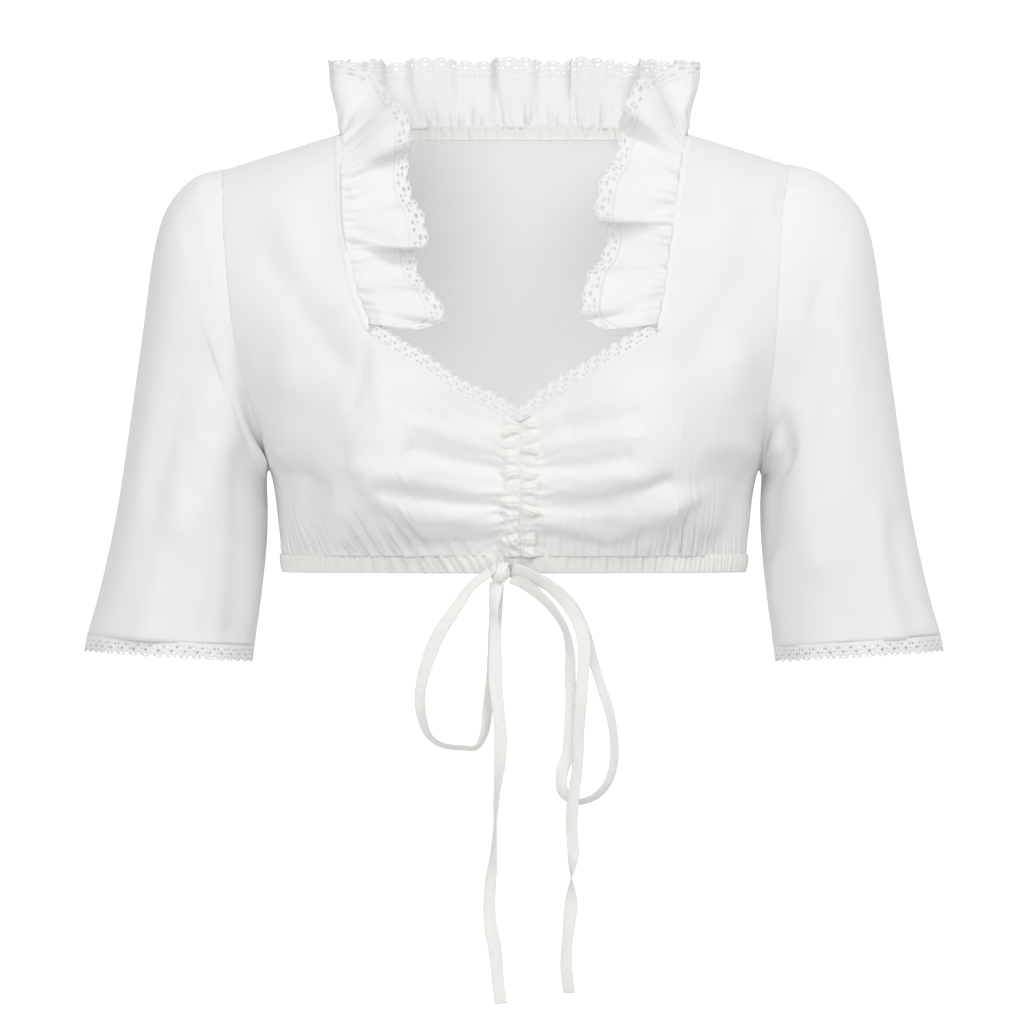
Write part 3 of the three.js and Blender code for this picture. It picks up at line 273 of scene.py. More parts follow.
# Folds of the sleeves: places round the sleeve in turns from its top past the front, and down it
SLEEVE_COLUMNS = "turn1 t1 turn2 t2 turn3 t3 height width"
SLEEVE_FOLDS = {
    RIGHT: table(SLEEVE_COLUMNS, [
        (0.42, 0.16, 0.3, 0.45, 0.24, 0.75, 3.4, 13), (0.37, 0.26, 0.36, 0.55, 0.39, 0.95, -5.5, 15),
        (0.26, 0.3, 0.2, 0.5, 0.17, 0.72, -2.4, 10), (0.24, 0.72, 0.22, 0.85, 0.2, 1.0, 2.4, 12),
        (0.14, 0.25, 0.12, 0.55, 0.14, 0.9, 2, 18), (0.6, 0.2, 0.66, 0.5, 0.7, 0.85, 2.6, 15),
        (0.84, 0.3, 0.86, 0.6, 0.82, 0.9, -2, 17), (0.44, 0.1, 0.38, 0.24, 0.33, 0.36, 1.6, 7),
        (0.4, 0.2, 0.33, 0.36, 0.27, 0.5, -1.2, 7), (0.22, 0.62, 0.2, 0.8, 0.21, 0.98, 1.2, 9),
        (0.31, 0.72, 0.33, 0.84, 0.32, 0.97, -1.2, 8), (0.56, 0.1, 0.6, 0.26, 0.66, 0.4, 1.5, 8),
        (0.45, 0.5, 0.46, 0.7, 0.45, 0.92, 1.3, 10), (0.08, 0.1, 0.1, 0.22, 0.08, 0.36, 0.9, 9)]),
    LEFT: table(SLEEVE_COLUMNS, [
        (0.46, 0.12, 0.4, 0.4, 0.43, 0.7, -3.2, 13), (0.38, 0.14, 0.3, 0.42, 0.3, 0.8, 3.2, 14),
        (0.4, 0.06, 0.355, 0.2, 0.345, 0.46, -4.2, 6.5), (0.22, 0.2, 0.24, 0.4, 0.3, 0.62, -1.8, 10),
        (0.12, 0.8, 0.13, 0.9, 0.12, 1, -2.2, 12), (0.62, 0.18, 0.68, 0.5, 0.66, 0.85, 2.6, 15),
        (0.86, 0.25, 0.84, 0.6, 0.87, 0.9, -2, 17), (0.47, 0.08, 0.42, 0.22, 0.36, 0.32, 1.6, 7),
        (0.43, 0.16, 0.4, 0.3, 0.36, 0.44, -1.3, 6), (0.16, 0.78, 0.17, 0.88, 0.17, 0.99, 1.4, 7),
        (0.3, 0.66, 0.27, 0.82, 0.28, 0.98, -1.0, 9), (0.56, 0.1, 0.61, 0.26, 0.67, 0.4, 1.5, 8),
        (0.2, 0.3, 0.19, 0.5, 0.22, 0.68, 1.1, 12), (0.42, 0.72, 0.44, 0.84, 0.42, 0.97, 1.4, 8)])}

# The drawstring's routes from the knot, and how far each tape is turned from flat to the front
TAPE_COLUMNS = "x y z turn"
TAPE_ROUTES = {
    "tape_loop_right": table(TAPE_COLUMNS, [
        (-15.6, -92.8, -293.3, 50), (-28.4, -94, -303.6, 42), (-39.6, -95, -320, 20), (-48.2, -95, -333, 5),
        (-54.1, -94, -346, 5), (-58.7, -93, -360, 18), (-61.2, -92, -374, 28), (-60.2, -91, -388, 42),
        (-55.4, -90, -401, 57), (-47, -89.5, -407.2, 65), (-34, -88.5, -409.2, 68), (-24.5, -88, -409, 62),
        (-19.6, -88, -401, 50), (-17, -88.3, -384, 42), (-14.6, -88.5, -362, 35), (-13, -89, -336, 25),
        (-11.6, -89.5, -315, 10), (-10.6, -90, -302.2, 0)]),
    "tape_tail_right": table(TAPE_COLUMNS, [
        (-11.4, -93.8, -301.1, 0), (-13.6, -95.6, -320.8, 50), (-12.5, -95.6, -335, 20),
        (-12.3, -95.6, -350.5, 0), (-11.9, -95.6, -368, 0), (-9.9, -95.6, -386, 0), (-8.6, -95.6, -403, 10),
        (-9.2, -95.6, -421, 35), (-11.2, -95.6, -439, 65), (-12.5, -95.6, -458, 75), (-13.9, -95.6, -481, 60),
        (-15.8, -95.6, -501, 20), (-15.8, -95.6, -521, 0), (-12.5, -95.6, -540.5, -15),
        (-10.6, -95.6, -560, -10), (-8.6, -95.6, -576, 0)]),
    "tape_loop_left": table(TAPE_COLUMNS, [
        (-1.6, -92, -297.5, 0), (5, -92, -300.5, 15), (16.5, -92, -309.5, 38), (26.4, -92, -320, 52),
        (33.6, -92, -332, 56), (36.8, -92, -346, 50), (37, -92, -362, 35), (37.6, -92, -380, 20),
        (37, -92, -398, 15), (35.4, -91.5, -413, 10), (31.5, -91, -425, 5), (32, -90, -438, 25),
        (40, -89, -444.6, 58), (50, -88.5, -443, 60), (59, -88, -436, 52), (64.6, -87.5, -424, 46),
        (65.6, -87.5, -407, 46), (62.8, -87.5, -388, 48), (57, -87.5, -369.6, 45), (51, -87.5, -350, 35),
        (45.5, -87.5, -333, 20), (37.5, -87.5, -316, 10), (24, -87.5, -303.5, 0), (10, -88, -296.5, 0),
        (-1.8, -88.6, -293.2, 0)]),
    "tape_tail_left": table(TAPE_COLUMNS, [
        (-1.3, -96, -291.8, 30), (7.3, -97, -294.4, 40), (16.5, -97, -299.6, 42), (26.5, -97, -307, 35),
        (35.5, -97, -316, 15), (42.4, -97, -327, 0), (45.8, -97, -341, 0), (45, -97, -362, 10),
        (43.6, -97, -380, 25), (42.2, -97, -400, 32), (41.2, -97, -422, 30), (38.8, -97, -440, 30),
        (37.4, -97, -458, 32), (38.6, -97, -477, 15), (37.6, -97, -493, 85), (37.4, -97, -511, 160),
        (35, -97, -531, 212), (34, -97, -550, 200), (36, -97, -569, 215)])}


# Numbers and curves

def smooth(value):
    """A soft step: 0 below 0, 1 above 1, and three squares less two cubes between."""
    t = np.clip(value, 0.0, 1.0)
    return t * t * (3 - 2 * t)


def bell(distance, width):
    """A bell of a distance: 1 at nothing, and fading out to both sides over the width."""
    return np.exp(-(distance / width) ** 2)


def mix(a, b, share):
    """A straight blend from a to b."""
    return a + (b - a) * share


def stack(*parts):
    """Arrays side by side, as the coordinates of points or the corners of faces."""
    return np.stack(parts, axis=-1)


def rounded(wave, power):
    """A wave between -1 and 1 with its flanks filled out: its size to a power, with its own sign."""
    return np.sign(wave) * np.abs(wave) ** power


def read(rows, key, name, places):
    """A column's value at each place: cubics through the rows that share each row's slope."""
    keys, values = rows[key], rows[name]
    spot = np.clip(places, keys[0], keys[-1])
    low = np.clip(np.searchsorted(keys, spot, side="right") - 1, 0, len(keys) - 2)
    number = np.arange(len(keys))
    before = np.maximum(number - 1, 0)
    after = np.minimum(number + 1, len(keys) - 1)
    slope = (values[after] - values[before]) / (keys[after] - keys[before])
    span = keys[low + 1] - keys[low]
    t = (spot - keys[low]) / span
    h = 3 * t * t - 2 * t ** 3
    bend = t * (1 - t) * ((1 - t) * slope[low] - t * slope[low + 1]) * span
    return values[low] * (1 - h) + values[low + 1] * h + bend


def spline(points, samples=600):
    """A centripetal curve through points: each stretch blends the lines through its four nearest points."""
    points = np.asarray(points, dtype=float)
    ends = (2 * points[0] - points[1], 2 * points[-1] - points[-2])
    all_points = np.vstack([ends[0], points, ends[1]])
    knots = np.concatenate([[0], np.cumsum(np.linalg.norm(np.diff(all_points, axis=0), axis=1) ** 0.5)])
    places = np.linspace(knots[1], knots[-2], samples)
    i = np.clip(np.searchsorted(knots, places, side="right") - 2, 0, len(points) - 2)
    t = places[:, None]
    k = [knots[i + n][:, None] for n in range(4)]
    p = [all_points[i + n] for n in range(4)]

    def between(start, end, first, last):
        return (last - t) / (last - first) * start + (t - first) / (last - first) * end

    a = [between(p[n], p[n + 1], k[n], k[n + 1]) for n in range(3)]
    b = [between(a[n], a[n + 1], k[n], k[n + 2]) for n in range(2)]
    return between(b[0], b[1], k[1], k[2])


def even(path):
    """The share of a path's length at each of its points, and the whole length."""
    steps = np.linalg.norm(np.diff(path, axis=0), axis=1)
    length = np.concatenate([[0], np.cumsum(steps)])
    return length / length[-1], length[-1]


def along(path, shares):
    """The points at the given shares of a path's length."""
    lengths, _ = even(path)
    return np.stack([np.interp(shares, lengths, path[:, k]) for k in range(path.shape[1])], axis=-1)


def direction_along(path, share, step):
    """The direction of a path at shares of its length, taken between a step before and one after."""
    return unit(along(path, np.clip(share + step, 0, 1)) - along(path, np.clip(share - step, 0, 1)))


def ripple(place, name):
    """The sum of the named waves, each its height times a sine."""
    return sum(height * np.sin(TURN * place / length + start) for height, length, start in WAVES[name])


def unit(vectors):
    """Vectors made one long."""
    return vectors / np.maximum(np.linalg.norm(vectors, axis=-1, keepdims=True), 1e-9)


def fold_height(folds, x, z, names=("x1", "z1", "x2", "z2", "x3", "z3")):
    """The summed folds: each is its height times a bell of the distance to a line bent at three places."""
    total = np.zeros_like(x)
    for k in range(len(folds["height"])):
        ax, az, bx, bz, cx, cz = (folds[name][k] for name in names)
        legs = []
        for (px, pz, qx, qz) in ((ax, az, bx, bz), (bx, bz, cx, cz)):
            share = ((x - px) * (qx - px) + (z - pz) * (qz - pz)) / ((qx - px) ** 2 + (qz - pz) ** 2)
            share = np.clip(share, 0, 1)
            legs.append(np.hypot(x - mix(px, qx, share), z - mix(pz, qz, share)))
        total += folds["height"][k] * bell(np.minimum(*legs), folds["width"][k])
    return total


# Surfaces of the body

def ridge_z(x):
    """The ridge of the shoulders, falling evenly outwards from the neck."""
    return NECK_POINT_Z - SHOULDER_SLOPE * (np.abs(x) - NECK_HALF_WIDTH)


def shoulder_round(x, z):
    """A quarter circle from the ridge down: 0 on the ridge and 1 from the rounding's depth on."""
    below = np.clip((ridge_z(x) - z) / SHOULDER_ROUNDING, 0, 1)
    return np.sqrt(1 - (1 - below) ** 2)


def section_round(x, z):
    """A squared-off ellipse's depth across the body, 1 at the middle and 0 at the side."""
    reach = np.minimum(np.abs(x) / read(BODY, "z", "half", z), 1)
    square = read(BODY, "z", "square", z)
    return np.maximum(1 - reach ** square, 0) ** (1 / square)


def cup_lift(x, z):
    """Two bells over the plain front, faded out at the side seam and the hem."""
    side = 1 - smooth((np.abs(x) / read(BODY, "z", "half", z) - CUP["side_start"]) / CUP["side_fade"])
    hem = smooth((z - HEM_BOTTOM) / CUP["hem_fade"])
    spread = np.where(z > CUP["z"], CUP["up"], CUP["down"])
    upright = np.exp(-0.5 * ((z - CUP["z"]) / spread) ** 2)
    across = sum(np.exp(-0.5 * ((x - middle) / CUP["spread_x"]) ** 2) for middle in (-CUP["x"], CUP["x"]))
    return CUP["lift"] * upright * across * side * hem


def front_y(x, z):
    """The front's depth: section times shoulder rounding, and the cups."""
    return -(read(BODY, "z", "front", z) * section_round(x, z) * shoulder_round(x, z) + cup_lift(x, z))


def back_y(x, z):
    """The back's depth: full up to the middle of the neck, rounded over only towards the shoulders."""
    turn = smooth((np.abs(x) - BACK_NECK_TURN[0]) / (BACK_NECK_TURN[1] - BACK_NECK_TURN[0]))
    return read(BODY, "z", "back", z) * section_round(x, z) * (1 - turn * (1 - shoulder_round(x, z)))


def back_top_z(x):
    """The back's upper edge: the shoulder seams, and a shallow parabola between the neck points."""
    neck = NECK_POINT_Z + BACK_NECK_RISE * (1 - (x / NECK_HALF_WIDTH) ** 2)
    return np.where(np.abs(x) >= NECK_HALF_WIDTH, ridge_z(x), neck)


def edge_path(rows):
    """An edge seen from the front, as a curve in x and z."""
    return spline(stack(rows["x"], rows["z"]), 400)


ARMHOLE_PATH = {side: edge_path(ARMHOLE[side]) for side in (RIGHT, LEFT)}


def side_seam(side):
    """The side seam from the hem to the underarm."""
    z = np.linspace(HEM_TOP, UNDERARM_Z, 60)
    return stack(side * read(BODY, "z", "half", z), z)


def edge_places(paths, places):
    """Points at places counted in whole paths: 1.5 is half way along the second path."""
    whole = np.minimum(places.astype(int), len(paths) - 1)
    result = np.zeros(places.shape + (2,))
    for k, path in enumerate(paths):
        chosen = whole == k
        result[chosen] = along(path, np.clip(places[chosen] - k, 0, 1))
    return result


def row_places(v, name, end):
    """The stretch of an edge that each row meets, slower towards the shoulder seam."""
    last_v, last = FRONT_ROWS["v"][-1], FRONT_ROWS[name][-1]
    late = end - (end - last) * ((1 - v) / (1 - last_v)) ** 2
    return np.where(v > last_v, late, np.interp(v, FRONT_ROWS["v"], FRONT_ROWS[name]))


def front_places(side, u, v):
    """Places in a front seen from the front: rows from the inner to the outer edge, closer at the side."""
    centre = np.array([(CENTRE_X, HEM_TOP), (CENTRE_X, CENTRE_TOP - 2)])
    inner_paths = [centre, edge_path(SWEETHEART_EDGE[side]), edge_path(NECK_EDGE[side])]
    outer_paths = [side_seam(side), ARMHOLE_PATH[side][::-1]]
    outer_place = row_places(v, "outer", 2.0)
    inner = edge_places(inner_paths, row_places(v, "inner", 3.0))[:, None, :]
    outer = edge_places(outer_paths, outer_place)[:, None, :]
    evenly = smooth((outer_place - 1) / COLUMNS_EVEN_OVER)[:, None]
    share = mix(np.sin(u * np.pi / 2)[None, :], u[None, :], evenly)[..., None]
    spots = mix(inner, outer, share)
    return spots[..., 0], spots[..., 1]


def hem_place(x):
    """The distance round the body from its middle, as on a circle."""
    return HEM_CIRCLE * np.arcsin(np.clip(x / (HEM_CIRCLE + 1), -1, 1))


def drawstring_gathers(x, z):
    """Ridges that fan out sideways from the ruched centre, uneven, dying away across the cups."""
    out = np.abs(x - CENTRE_X) - CHANNEL_WIDTH
    fan = (z - PULL["fan_z"]) / (1 + np.maximum(out, 0) / PULL["fan_reach"])
    wander = ripple(x, "wander_across") + ripple(z, "wander_down")
    reach = PULL["reach"] + PULL["reach_swing"] * np.sin(z / 9.5 + 0.8)
    inside = smooth((z - HEM_TOP + 4) / 10) * smooth((-188 - z) / 12)
    pull = PULL["least"] + PULL["more"] * bell(z - PULL["z"], PULL["width"])
    fade = np.exp(-np.maximum(out, 0) / reach) * smooth((out + 4) / 5)
    return pull * ripple(fan + wander, "drawstring") * fade * inside


def hem_gathers(place, height, lean):
    """Fine upright ridges that rise from the gathered hem, each to a height of its own."""
    shifted = place + lean * np.maximum(height, 0)
    reach = 16 + 8 * np.sin(place / 17.0) + 6 * np.sin(place / 6.1 + 1)
    return 1.2 * ripple(shifted, "hem") * np.exp(-np.maximum(height, 0) / reach)


def front_relief(side, x, z):
    """The relief of a front: main folds, fine folds, gathers of the drawstring and of the hem."""
    top = smooth((ridge_z(x) - z) / RELIEF_TOP_FADE)
    centre = smooth((np.abs(x - CENTRE_X) - CHANNEL_WIDTH + 5) / 9)
    folds = fold_height(FRONT_FOLDS[side], x, z) + fold_height(FINE_FOLDS[side], x, z)
    hem = HEM_PULL[side]
    strength = 0.8 + hem["more"] * bell(x - hem["x"], hem["width"])
    gathers = hem_gathers(hem_place(x), z - HEM_TOP, hem["lean"])
    gathers = gathers * strength * (0.3 + 0.7 * smooth((z - HEM_TOP) / 6))
    return (folds * centre + gathers) * top + drawstring_gathers(x, z)


def on_front(side, x, z, out):
    """Points over a front: its surface moved out along its normal by its relief and a distance."""
    step = 0.5
    slope_x = (front_y(x + step, z) - front_y(x - step, z)) / (2 * step)
    slope_z = (front_y(x, z + step) - front_y(x, z - step)) / (2 * step)
    normal = unit(stack(slope_x, -np.ones_like(slope_x), slope_z))
    base = stack(x, front_y(x, z), z)
    return base + normal * (front_relief(side, x, z) + out)[..., None]


# Meshes

def grid_normals(surface, closed=False):
    """Normals of a grid of rows and columns: the cross product of its two directions."""
    if closed:
        du = np.roll(surface, -1, axis=1) - np.roll(surface, 1, axis=1)
    else:
        du = np.gradient(surface, axis=1)
    dv = np.gradient(surface, axis=0)
    return unit(np.cross(du, dv))


def grid_quads(rows, columns, closed):
    """The corner numbers of each quad of a grid."""
    across = columns if closed else columns + 1
    i, j = np.meshgrid(np.arange(columns), np.arange(rows))
    right = (i + 1) % across
    low = j * across
    high = low + across
    return stack(low + i, low + right, high + right, high + i).reshape(-1, 4)


def wall(surface, thickness, closed=False):
    """A closed wall: the surface moved out and in by half its thickness, joined along its edges."""
    rows, across = surface.shape[0] - 1, surface.shape[1]
    columns = across if closed else across - 1
    out = grid_normals(surface, closed) * (thickness / 2)
    verts = np.concatenate([(surface + out).reshape(-1, 3), (surface - out).reshape(-1, 3)])
    count = surface.shape[0] * across
    outer = grid_quads(rows, columns, closed)
    quads = [outer, outer[:, ::-1] + count]
    i = np.arange(columns)
    right = (i + 1) % across
    top = rows * across
    quads.append(stack(right, i, i + count, right + count))
    quads.append(stack(top + i, top + right, top + right + count, top + i + count))
    if not closed:
        j = np.arange(rows)
        low, high = j * across, (j + 1) * across
        quads.append(stack(low, high, high + count, low + count))
        end = across - 1
        quads.append(stack(high + end, low + end, low + end + count, high + end + count))
    return verts, np.concatenate(quads)


def signed_volume(verts, quads):
    """Six times the volume that the faces close in, below nothing where they point inwards."""
    a, b, c, d = (verts[quads[:, k]] for k in range(4))
    return np.einsum("ij,ij->i", a, np.cross(b, c)).sum() + np.einsum("ij,ij->i", a, np.cross(c, d)).sum()


def make_piece(name, verts, quads, material, uv=None):
    """A mesh object from corner points in millimetres and quads, its faces turned to point out."""
    if signed_volume(verts, quads) < 0:
        quads = quads[:, ::-1]
    mesh = bpy.data.meshes.new(name)
    mesh.vertices.add(len(verts))
    mesh.vertices.foreach_set("co", (verts * MM).astype(np.float32).ravel())
    mesh.loops.add(quads.size)
    mesh.loops.foreach_set("vertex_index", quads.astype(np.int32).ravel())
    mesh.polygons.add(len(quads))
    mesh.polygons.foreach_set("loop_start", np.arange(0, quads.size, 4, dtype=np.int32))
    mesh.polygons.foreach_set("loop_total", np.full(len(quads), 4, dtype=np.int32))
    mesh.polygons.foreach_set("use_smooth", np.ones(len(quads), dtype=bool))
    mesh.update(calc_edges=True)
    if uv is not None:
        layer = mesh.uv_layers.new(name="cloth")
        layer.data.foreach_set("uv", uv[quads.ravel()].astype(np.float32).ravel())
    mesh.validate()
    piece = bpy.data.objects.new(name, mesh)
    bpy.context.scene.collection.objects.link(piece)
    mesh.materials.append(material)
    return piece


def stand_for(piece, node):
    """Puts a piece in place of its solid and lets it ride with the blouse."""
    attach(piece, "root")
    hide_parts(node)


def cloth_uv(surface):
    """A flat map in metres: the mean length across, and the mean length up, for both sides of a wall."""
    across = np.linalg.norm(np.diff(surface, axis=1), axis=2).mean(axis=0)
    up = np.linalg.norm(np.diff(surface, axis=0), axis=2).mean(axis=1)
    u = np.concatenate([[0], np.cumsum(across)]) * MM
    v = np.concatenate([[0], np.cumsum(up)]) * MM
    grid = np.stack(np.meshgrid(u, v), axis=-1).reshape(-1, 2)
    return np.concatenate([grid, grid])


def add_wall(name, node, surface, thickness, material, closed=False):
    """A cotton wall that stands for its solid."""
    verts, quads = wall(surface, thickness, closed)
    piece = make_piece(name, verts, quads, material, cloth_uv(surface))
    stand_for(piece, node)
    return piece


def join(parts):
    """Several lists of corners and quads as one."""
    verts, quads, offset = [], [], 0
    for some_verts, some_quads in parts:
        verts.append(some_verts)
        quads.append(some_quads + offset)
        offset += len(some_verts)
    return np.concatenate(verts), np.concatenate(quads)


# Materials

def new_group(name, inputs, outputs):
    """An empty shader group with named sockets."""
    group = bpy.data.node_groups.new(name, "ShaderNodeTree")
    for socket, kind, value in inputs:
        made = group.interface.new_socket(name=socket, in_out="INPUT", socket_type=kind)
        if value is not None:
            made.default_value = value
    for socket, kind in outputs:
        group.interface.new_socket(name=socket, in_out="OUTPUT", socket_type=kind)
    return group, group.nodes.new("NodeGroupInput"), group.nodes.new("NodeGroupOutput")


def fill(node, **values):
    """Sets the inputs of a node by name."""
    for name, value in values.items():
        node.inputs[name.replace("_", " ")].default_value = value


def add_node(tree, kind, **values):
    """A node of a kind, with the values of its inputs given by name."""
    node = tree.nodes.new("ShaderNode" + kind)
    fill(node, **values)
    return node


def new_material(name):
    """A material with its node tree and its shader."""
    material = bpy.data.materials.new(name)
    material.use_nodes = True
    return material, material.node_tree, material.node_tree.nodes["Principled BSDF"]


def math_node(tree, operation, first, second=None):
    """A maths node whose inputs are sockets or plain numbers."""
    node = add_node(tree, "Math")
    node.operation = operation
    for k, value in enumerate((first, second)):
        if value is None:
            continue
        if hasattr(value, "links"):
            tree.links.new(value, node.inputs[k])
        else:
            node.inputs[k].default_value = value
    return node.outputs[0]


def bump_node(tree, height, strength, distance, under=None):
    """A bump from a height, over another bump if one is given."""
    node = add_node(tree, "Bump", Strength=strength, Distance=distance)
    tree.links.new(height, node.inputs["Height"])
    if under is not None:
        tree.links.new(under, node.inputs["Normal"])
    return node.outputs["Normal"]


def weave_group():
    """Plain weave: two crossed sets of rounded yarns, one over the other in turn, with uneven yarns."""
    group, given, result = new_group("plain_weave", [
        ("Vector", "NodeSocketVector", None), ("Yarns per metre", "NodeSocketFloat", 2600.0),
        ("Unevenness", "NodeSocketFloat", 0.35)],
        [("Height", "NodeSocketFloat"), ("Slub", "NodeSocketFloat")])
    link = group.links.new
    split = add_node(group, "SeparateXYZ")
    link(given.outputs["Vector"], split.inputs[0])
    waves = []
    for axis in range(2):
        turns = math_node(group, "MULTIPLY", split.outputs[axis], given.outputs["Yarns per metre"])
        waves.append(math_node(group, "SINE", math_node(group, "MULTIPLY", turns, 3.14159)))
    over = math_node(group, "MULTIPLY", waves[0], waves[1])
    slub = add_node(group, "TexNoise", Scale=160, Detail=3)
    stretch = add_node(group, "VectorMath")
    stretch.operation = "MULTIPLY"
    stretch.inputs[1].default_value = (1, 6, 1)
    link(given.outputs["Vector"], stretch.inputs[0])
    link(stretch.outputs[0], slub.inputs["Vector"])
    uneven = math_node(group, "MULTIPLY", slub.outputs["Fac"], given.outputs["Unevenness"])
    link(math_node(group, "ADD", over, uneven), result.inputs["Height"])
    link(slub.outputs["Fac"], result.inputs["Slub"])
    return group


def crumple_group():
    """Soft crumples of pressed cotton: a low noise for the dents, and for the painted shade that darkens
    them.
    """
    group, given, result = new_group("soft_crumple", [
        ("Vector", "NodeSocketVector", None), ("Scale", "NodeSocketFloat", 26.0)],
        [("Height", "NodeSocketFloat"), ("Dent shade", "NodeSocketFloat")])
    low = add_node(group, "TexNoise", Detail=4, Roughness=0.45)
    for socket in ("Vector", "Scale"):
        group.links.new(given.outputs[socket], low.inputs[socket])
    for socket in ("Height", "Dent shade"):
        group.links.new(low.outputs["Fac"], result.inputs[socket])
    return group


def cloth_material(groups, name, colour, shade, yarns, weave_depth, crumple_depth, crumple_scale, sheen):
    """A matt cloth, its colour varied by the yarn's slubs and darkened by painted shade in the crumples'
    dents, with one bump for the weave and one for the crumples.
    """
    material, tree, shader = new_material(name)
    link = tree.links.new
    fill(shader, Sheen_Weight=sheen, Sheen_Roughness=0.5, Specular_IOR_Level=0.25)
    flat = add_node(tree, "UVMap")
    flat.uv_map = "cloth"
    place = add_node(tree, "TexCoord")
    weave = add_node(tree, "Group")
    weave.node_tree = groups["weave"]
    fill(weave, Yarns_per_metre=yarns)
    link(flat.outputs["UV"], weave.inputs["Vector"])
    crumple = add_node(tree, "Group")
    crumple.node_tree = groups["crumple"]
    fill(crumple, Scale=crumple_scale)
    link(place.outputs["Object"], crumple.inputs["Vector"])
    # Painted shade: the crumples' dents pull the colour towards the shaded colour, and the slubs vary it as
    # the yarn's own unevenness.
    shading = add_node(tree, "Mix")
    shading.data_type = "RGBA"
    fill(shading, A=(*shade, 1), B=(*colour, 1))
    strength = math_node(tree, "ADD", math_node(tree, "MULTIPLY", weave.outputs["Slub"], 0.5),
                         math_node(tree, "MULTIPLY", crumple.outputs["Dent shade"], 0.7))
    link(strength, shading.inputs["Factor"])
    link(shading.outputs["Result"], shader.inputs["Base Color"])
    rough = math_node(tree, "ADD", math_node(tree, "MULTIPLY", weave.outputs["Slub"], 0.12), 0.78)
    link(rough, shader.inputs["Roughness"])
    soft = bump_node(tree, crumple.outputs["Height"], 0.6, crumple_depth)
    link(bump_node(tree, weave.outputs["Height"], 0.5, weave_depth, soft), shader.inputs["Normal"])
    return material


def make_materials():
    """The blouse's cotton, tape and threads."""
    groups = {"weave": weave_group(), "crumple": crumple_group()}
    return {key: cloth_material(groups, *values) for key, values in CLOTHS.items()}


# Panels

def add_front(side, looks):
    """A front: its grid between its edges, lifted by its relief and dipped a little into its seams."""
    across, up = GRID["front"]
    u = np.linspace(0.0012, 0.9975, across)
    x, z = front_places(side, u, np.linspace(0.001, 0.9995, up))
    base = stack(x, front_y(x, z), z)
    to_seam = (1 - u)[None, :] * FRONT_SPAN
    depth, width = FRONT_DIP
    relief = front_relief(side, x, z) * smooth(to_seam / SEAM_FADE) - depth * bell(to_seam, width)
    surface = base + grid_normals(base) * side * relief[..., None]
    name = f"front_{SIDE_NAMES[side]}"
    piece = add_wall(name + "_cloth", name, surface, CLOTH_THICKNESS, looks["cotton"])


def add_back(looks):
    """The back: rows from side to side, even round the body below and along shoulders and neck above."""
    across, up = GRID["back"]
    u = np.linspace(0.003, 0.997, across)
    v = np.linspace(0.001, 0.9995, up)
    outer = np.where(v < 0.8, 1.85 * v / 0.8, 2 - 0.15 * ((1 - v) / 0.2) ** 2)
    ends = {side: edge_places([side_seam(side), ARMHOLE_PATH[side][::-1]], outer) for side in (RIGHT, LEFT)}
    first, last = ARMHOLE_PATH[RIGHT][0], ARMHOLE_PATH[LEFT][0]
    top_x = np.interp(u, [0, 0.2, 0.8, 1], [first[0], -NECK_HALF_WIDTH, NECK_HALF_WIDTH, last[0]])
    top_share = (top_x - first[0]) / (last[0] - first[0])
    share = mix((1 - np.cos(u * np.pi))[None, :] / 2, top_share[None, :], smooth(outer / 1.9)[:, None])
    x = mix(ends[RIGHT][:, :1], ends[LEFT][:, :1], share)
    rise = back_top_z(x) - mix(first[1], last[1], (x - first[0]) / (last[0] - first[0]))
    z = mix(ends[RIGHT][:, 1:], ends[LEFT][:, 1:], share) + rise * smooth(outer / 2)[:, None]
    base = stack(x, back_y(x, z), z)
    relief = hem_gathers(hem_place(x) + 40, z - HEM_TOP, 0.1) * 1.2 + fold_height(BACK_FOLDS, x, z)
    to_seam = np.minimum(u, 1 - u)[None, :] * BACK_SPAN
    depth, width = BACK_DIP
    relief = relief * smooth(to_seam / SEAM_FADE) - depth * bell(to_seam, width)
    surface = base - grid_normals(base) * relief[..., None]
    piece = add_wall("back_cloth", "back", surface, CLOTH_THICKNESS, looks["cotton"])


def ring_share(turn):
    """0 at the top of a ring, 1 at its bottom and 0 again after a whole turn, as a cosine."""
    return (1 - np.cos(turn * TURN)) / 2


def armhole_points(side, turn):
    """The armhole seam, round from the ridge of the shoulder down the front and up the back."""
    spots = along(ARMHOLE_PATH[side], ring_share(turn))
    x, z = spots[..., 0], spots[..., 1]
    return stack(x, np.where(turn <= 0.5, front_y(x, z), back_y(x, z)), z)


def sleeve_ring(side, turn, t):
    """Rings through the sleeve's outermost and innermost points, as deep as the table says."""
    share = ring_share(turn)
    x = side * mix(read(SLEEVE, "t", "outer_x", t), read(SLEEVE, "t", "inner_x", t), share)
    z = mix(read(SLEEVE, "t", "outer_z", t), read(SLEEVE, "t", "inner_z", t), share)
    return stack(x, -np.sin(turn * TURN) * read(SLEEVE, "t", "depth", t), z)


def sleeve_points(side, turn, t):
    """The sleeve: its rings, pulled at the head onto the armhole seam."""
    turn, t = np.broadcast_arrays(turn, t)
    underarm = ring_share(turn) ** 6
    seam = armhole_points(side, turn)
    tuck = bell(t * SLEEVE_LENGTH, SLEEVE_DIP[1])
    seam[..., 0] += side * (mix(ARMHOLE_GAP, UNDERARM_GAP, underarm) - HEAD["tuck"] * tuck)
    seam[..., 2] -= UNDERARM_DROP * underarm
    pull = (1 - smooth(t / HEAD["pull"]))[..., None]
    return sleeve_ring(side, turn, t) + (seam - sleeve_ring(side, turn, np.zeros_like(t))) * pull


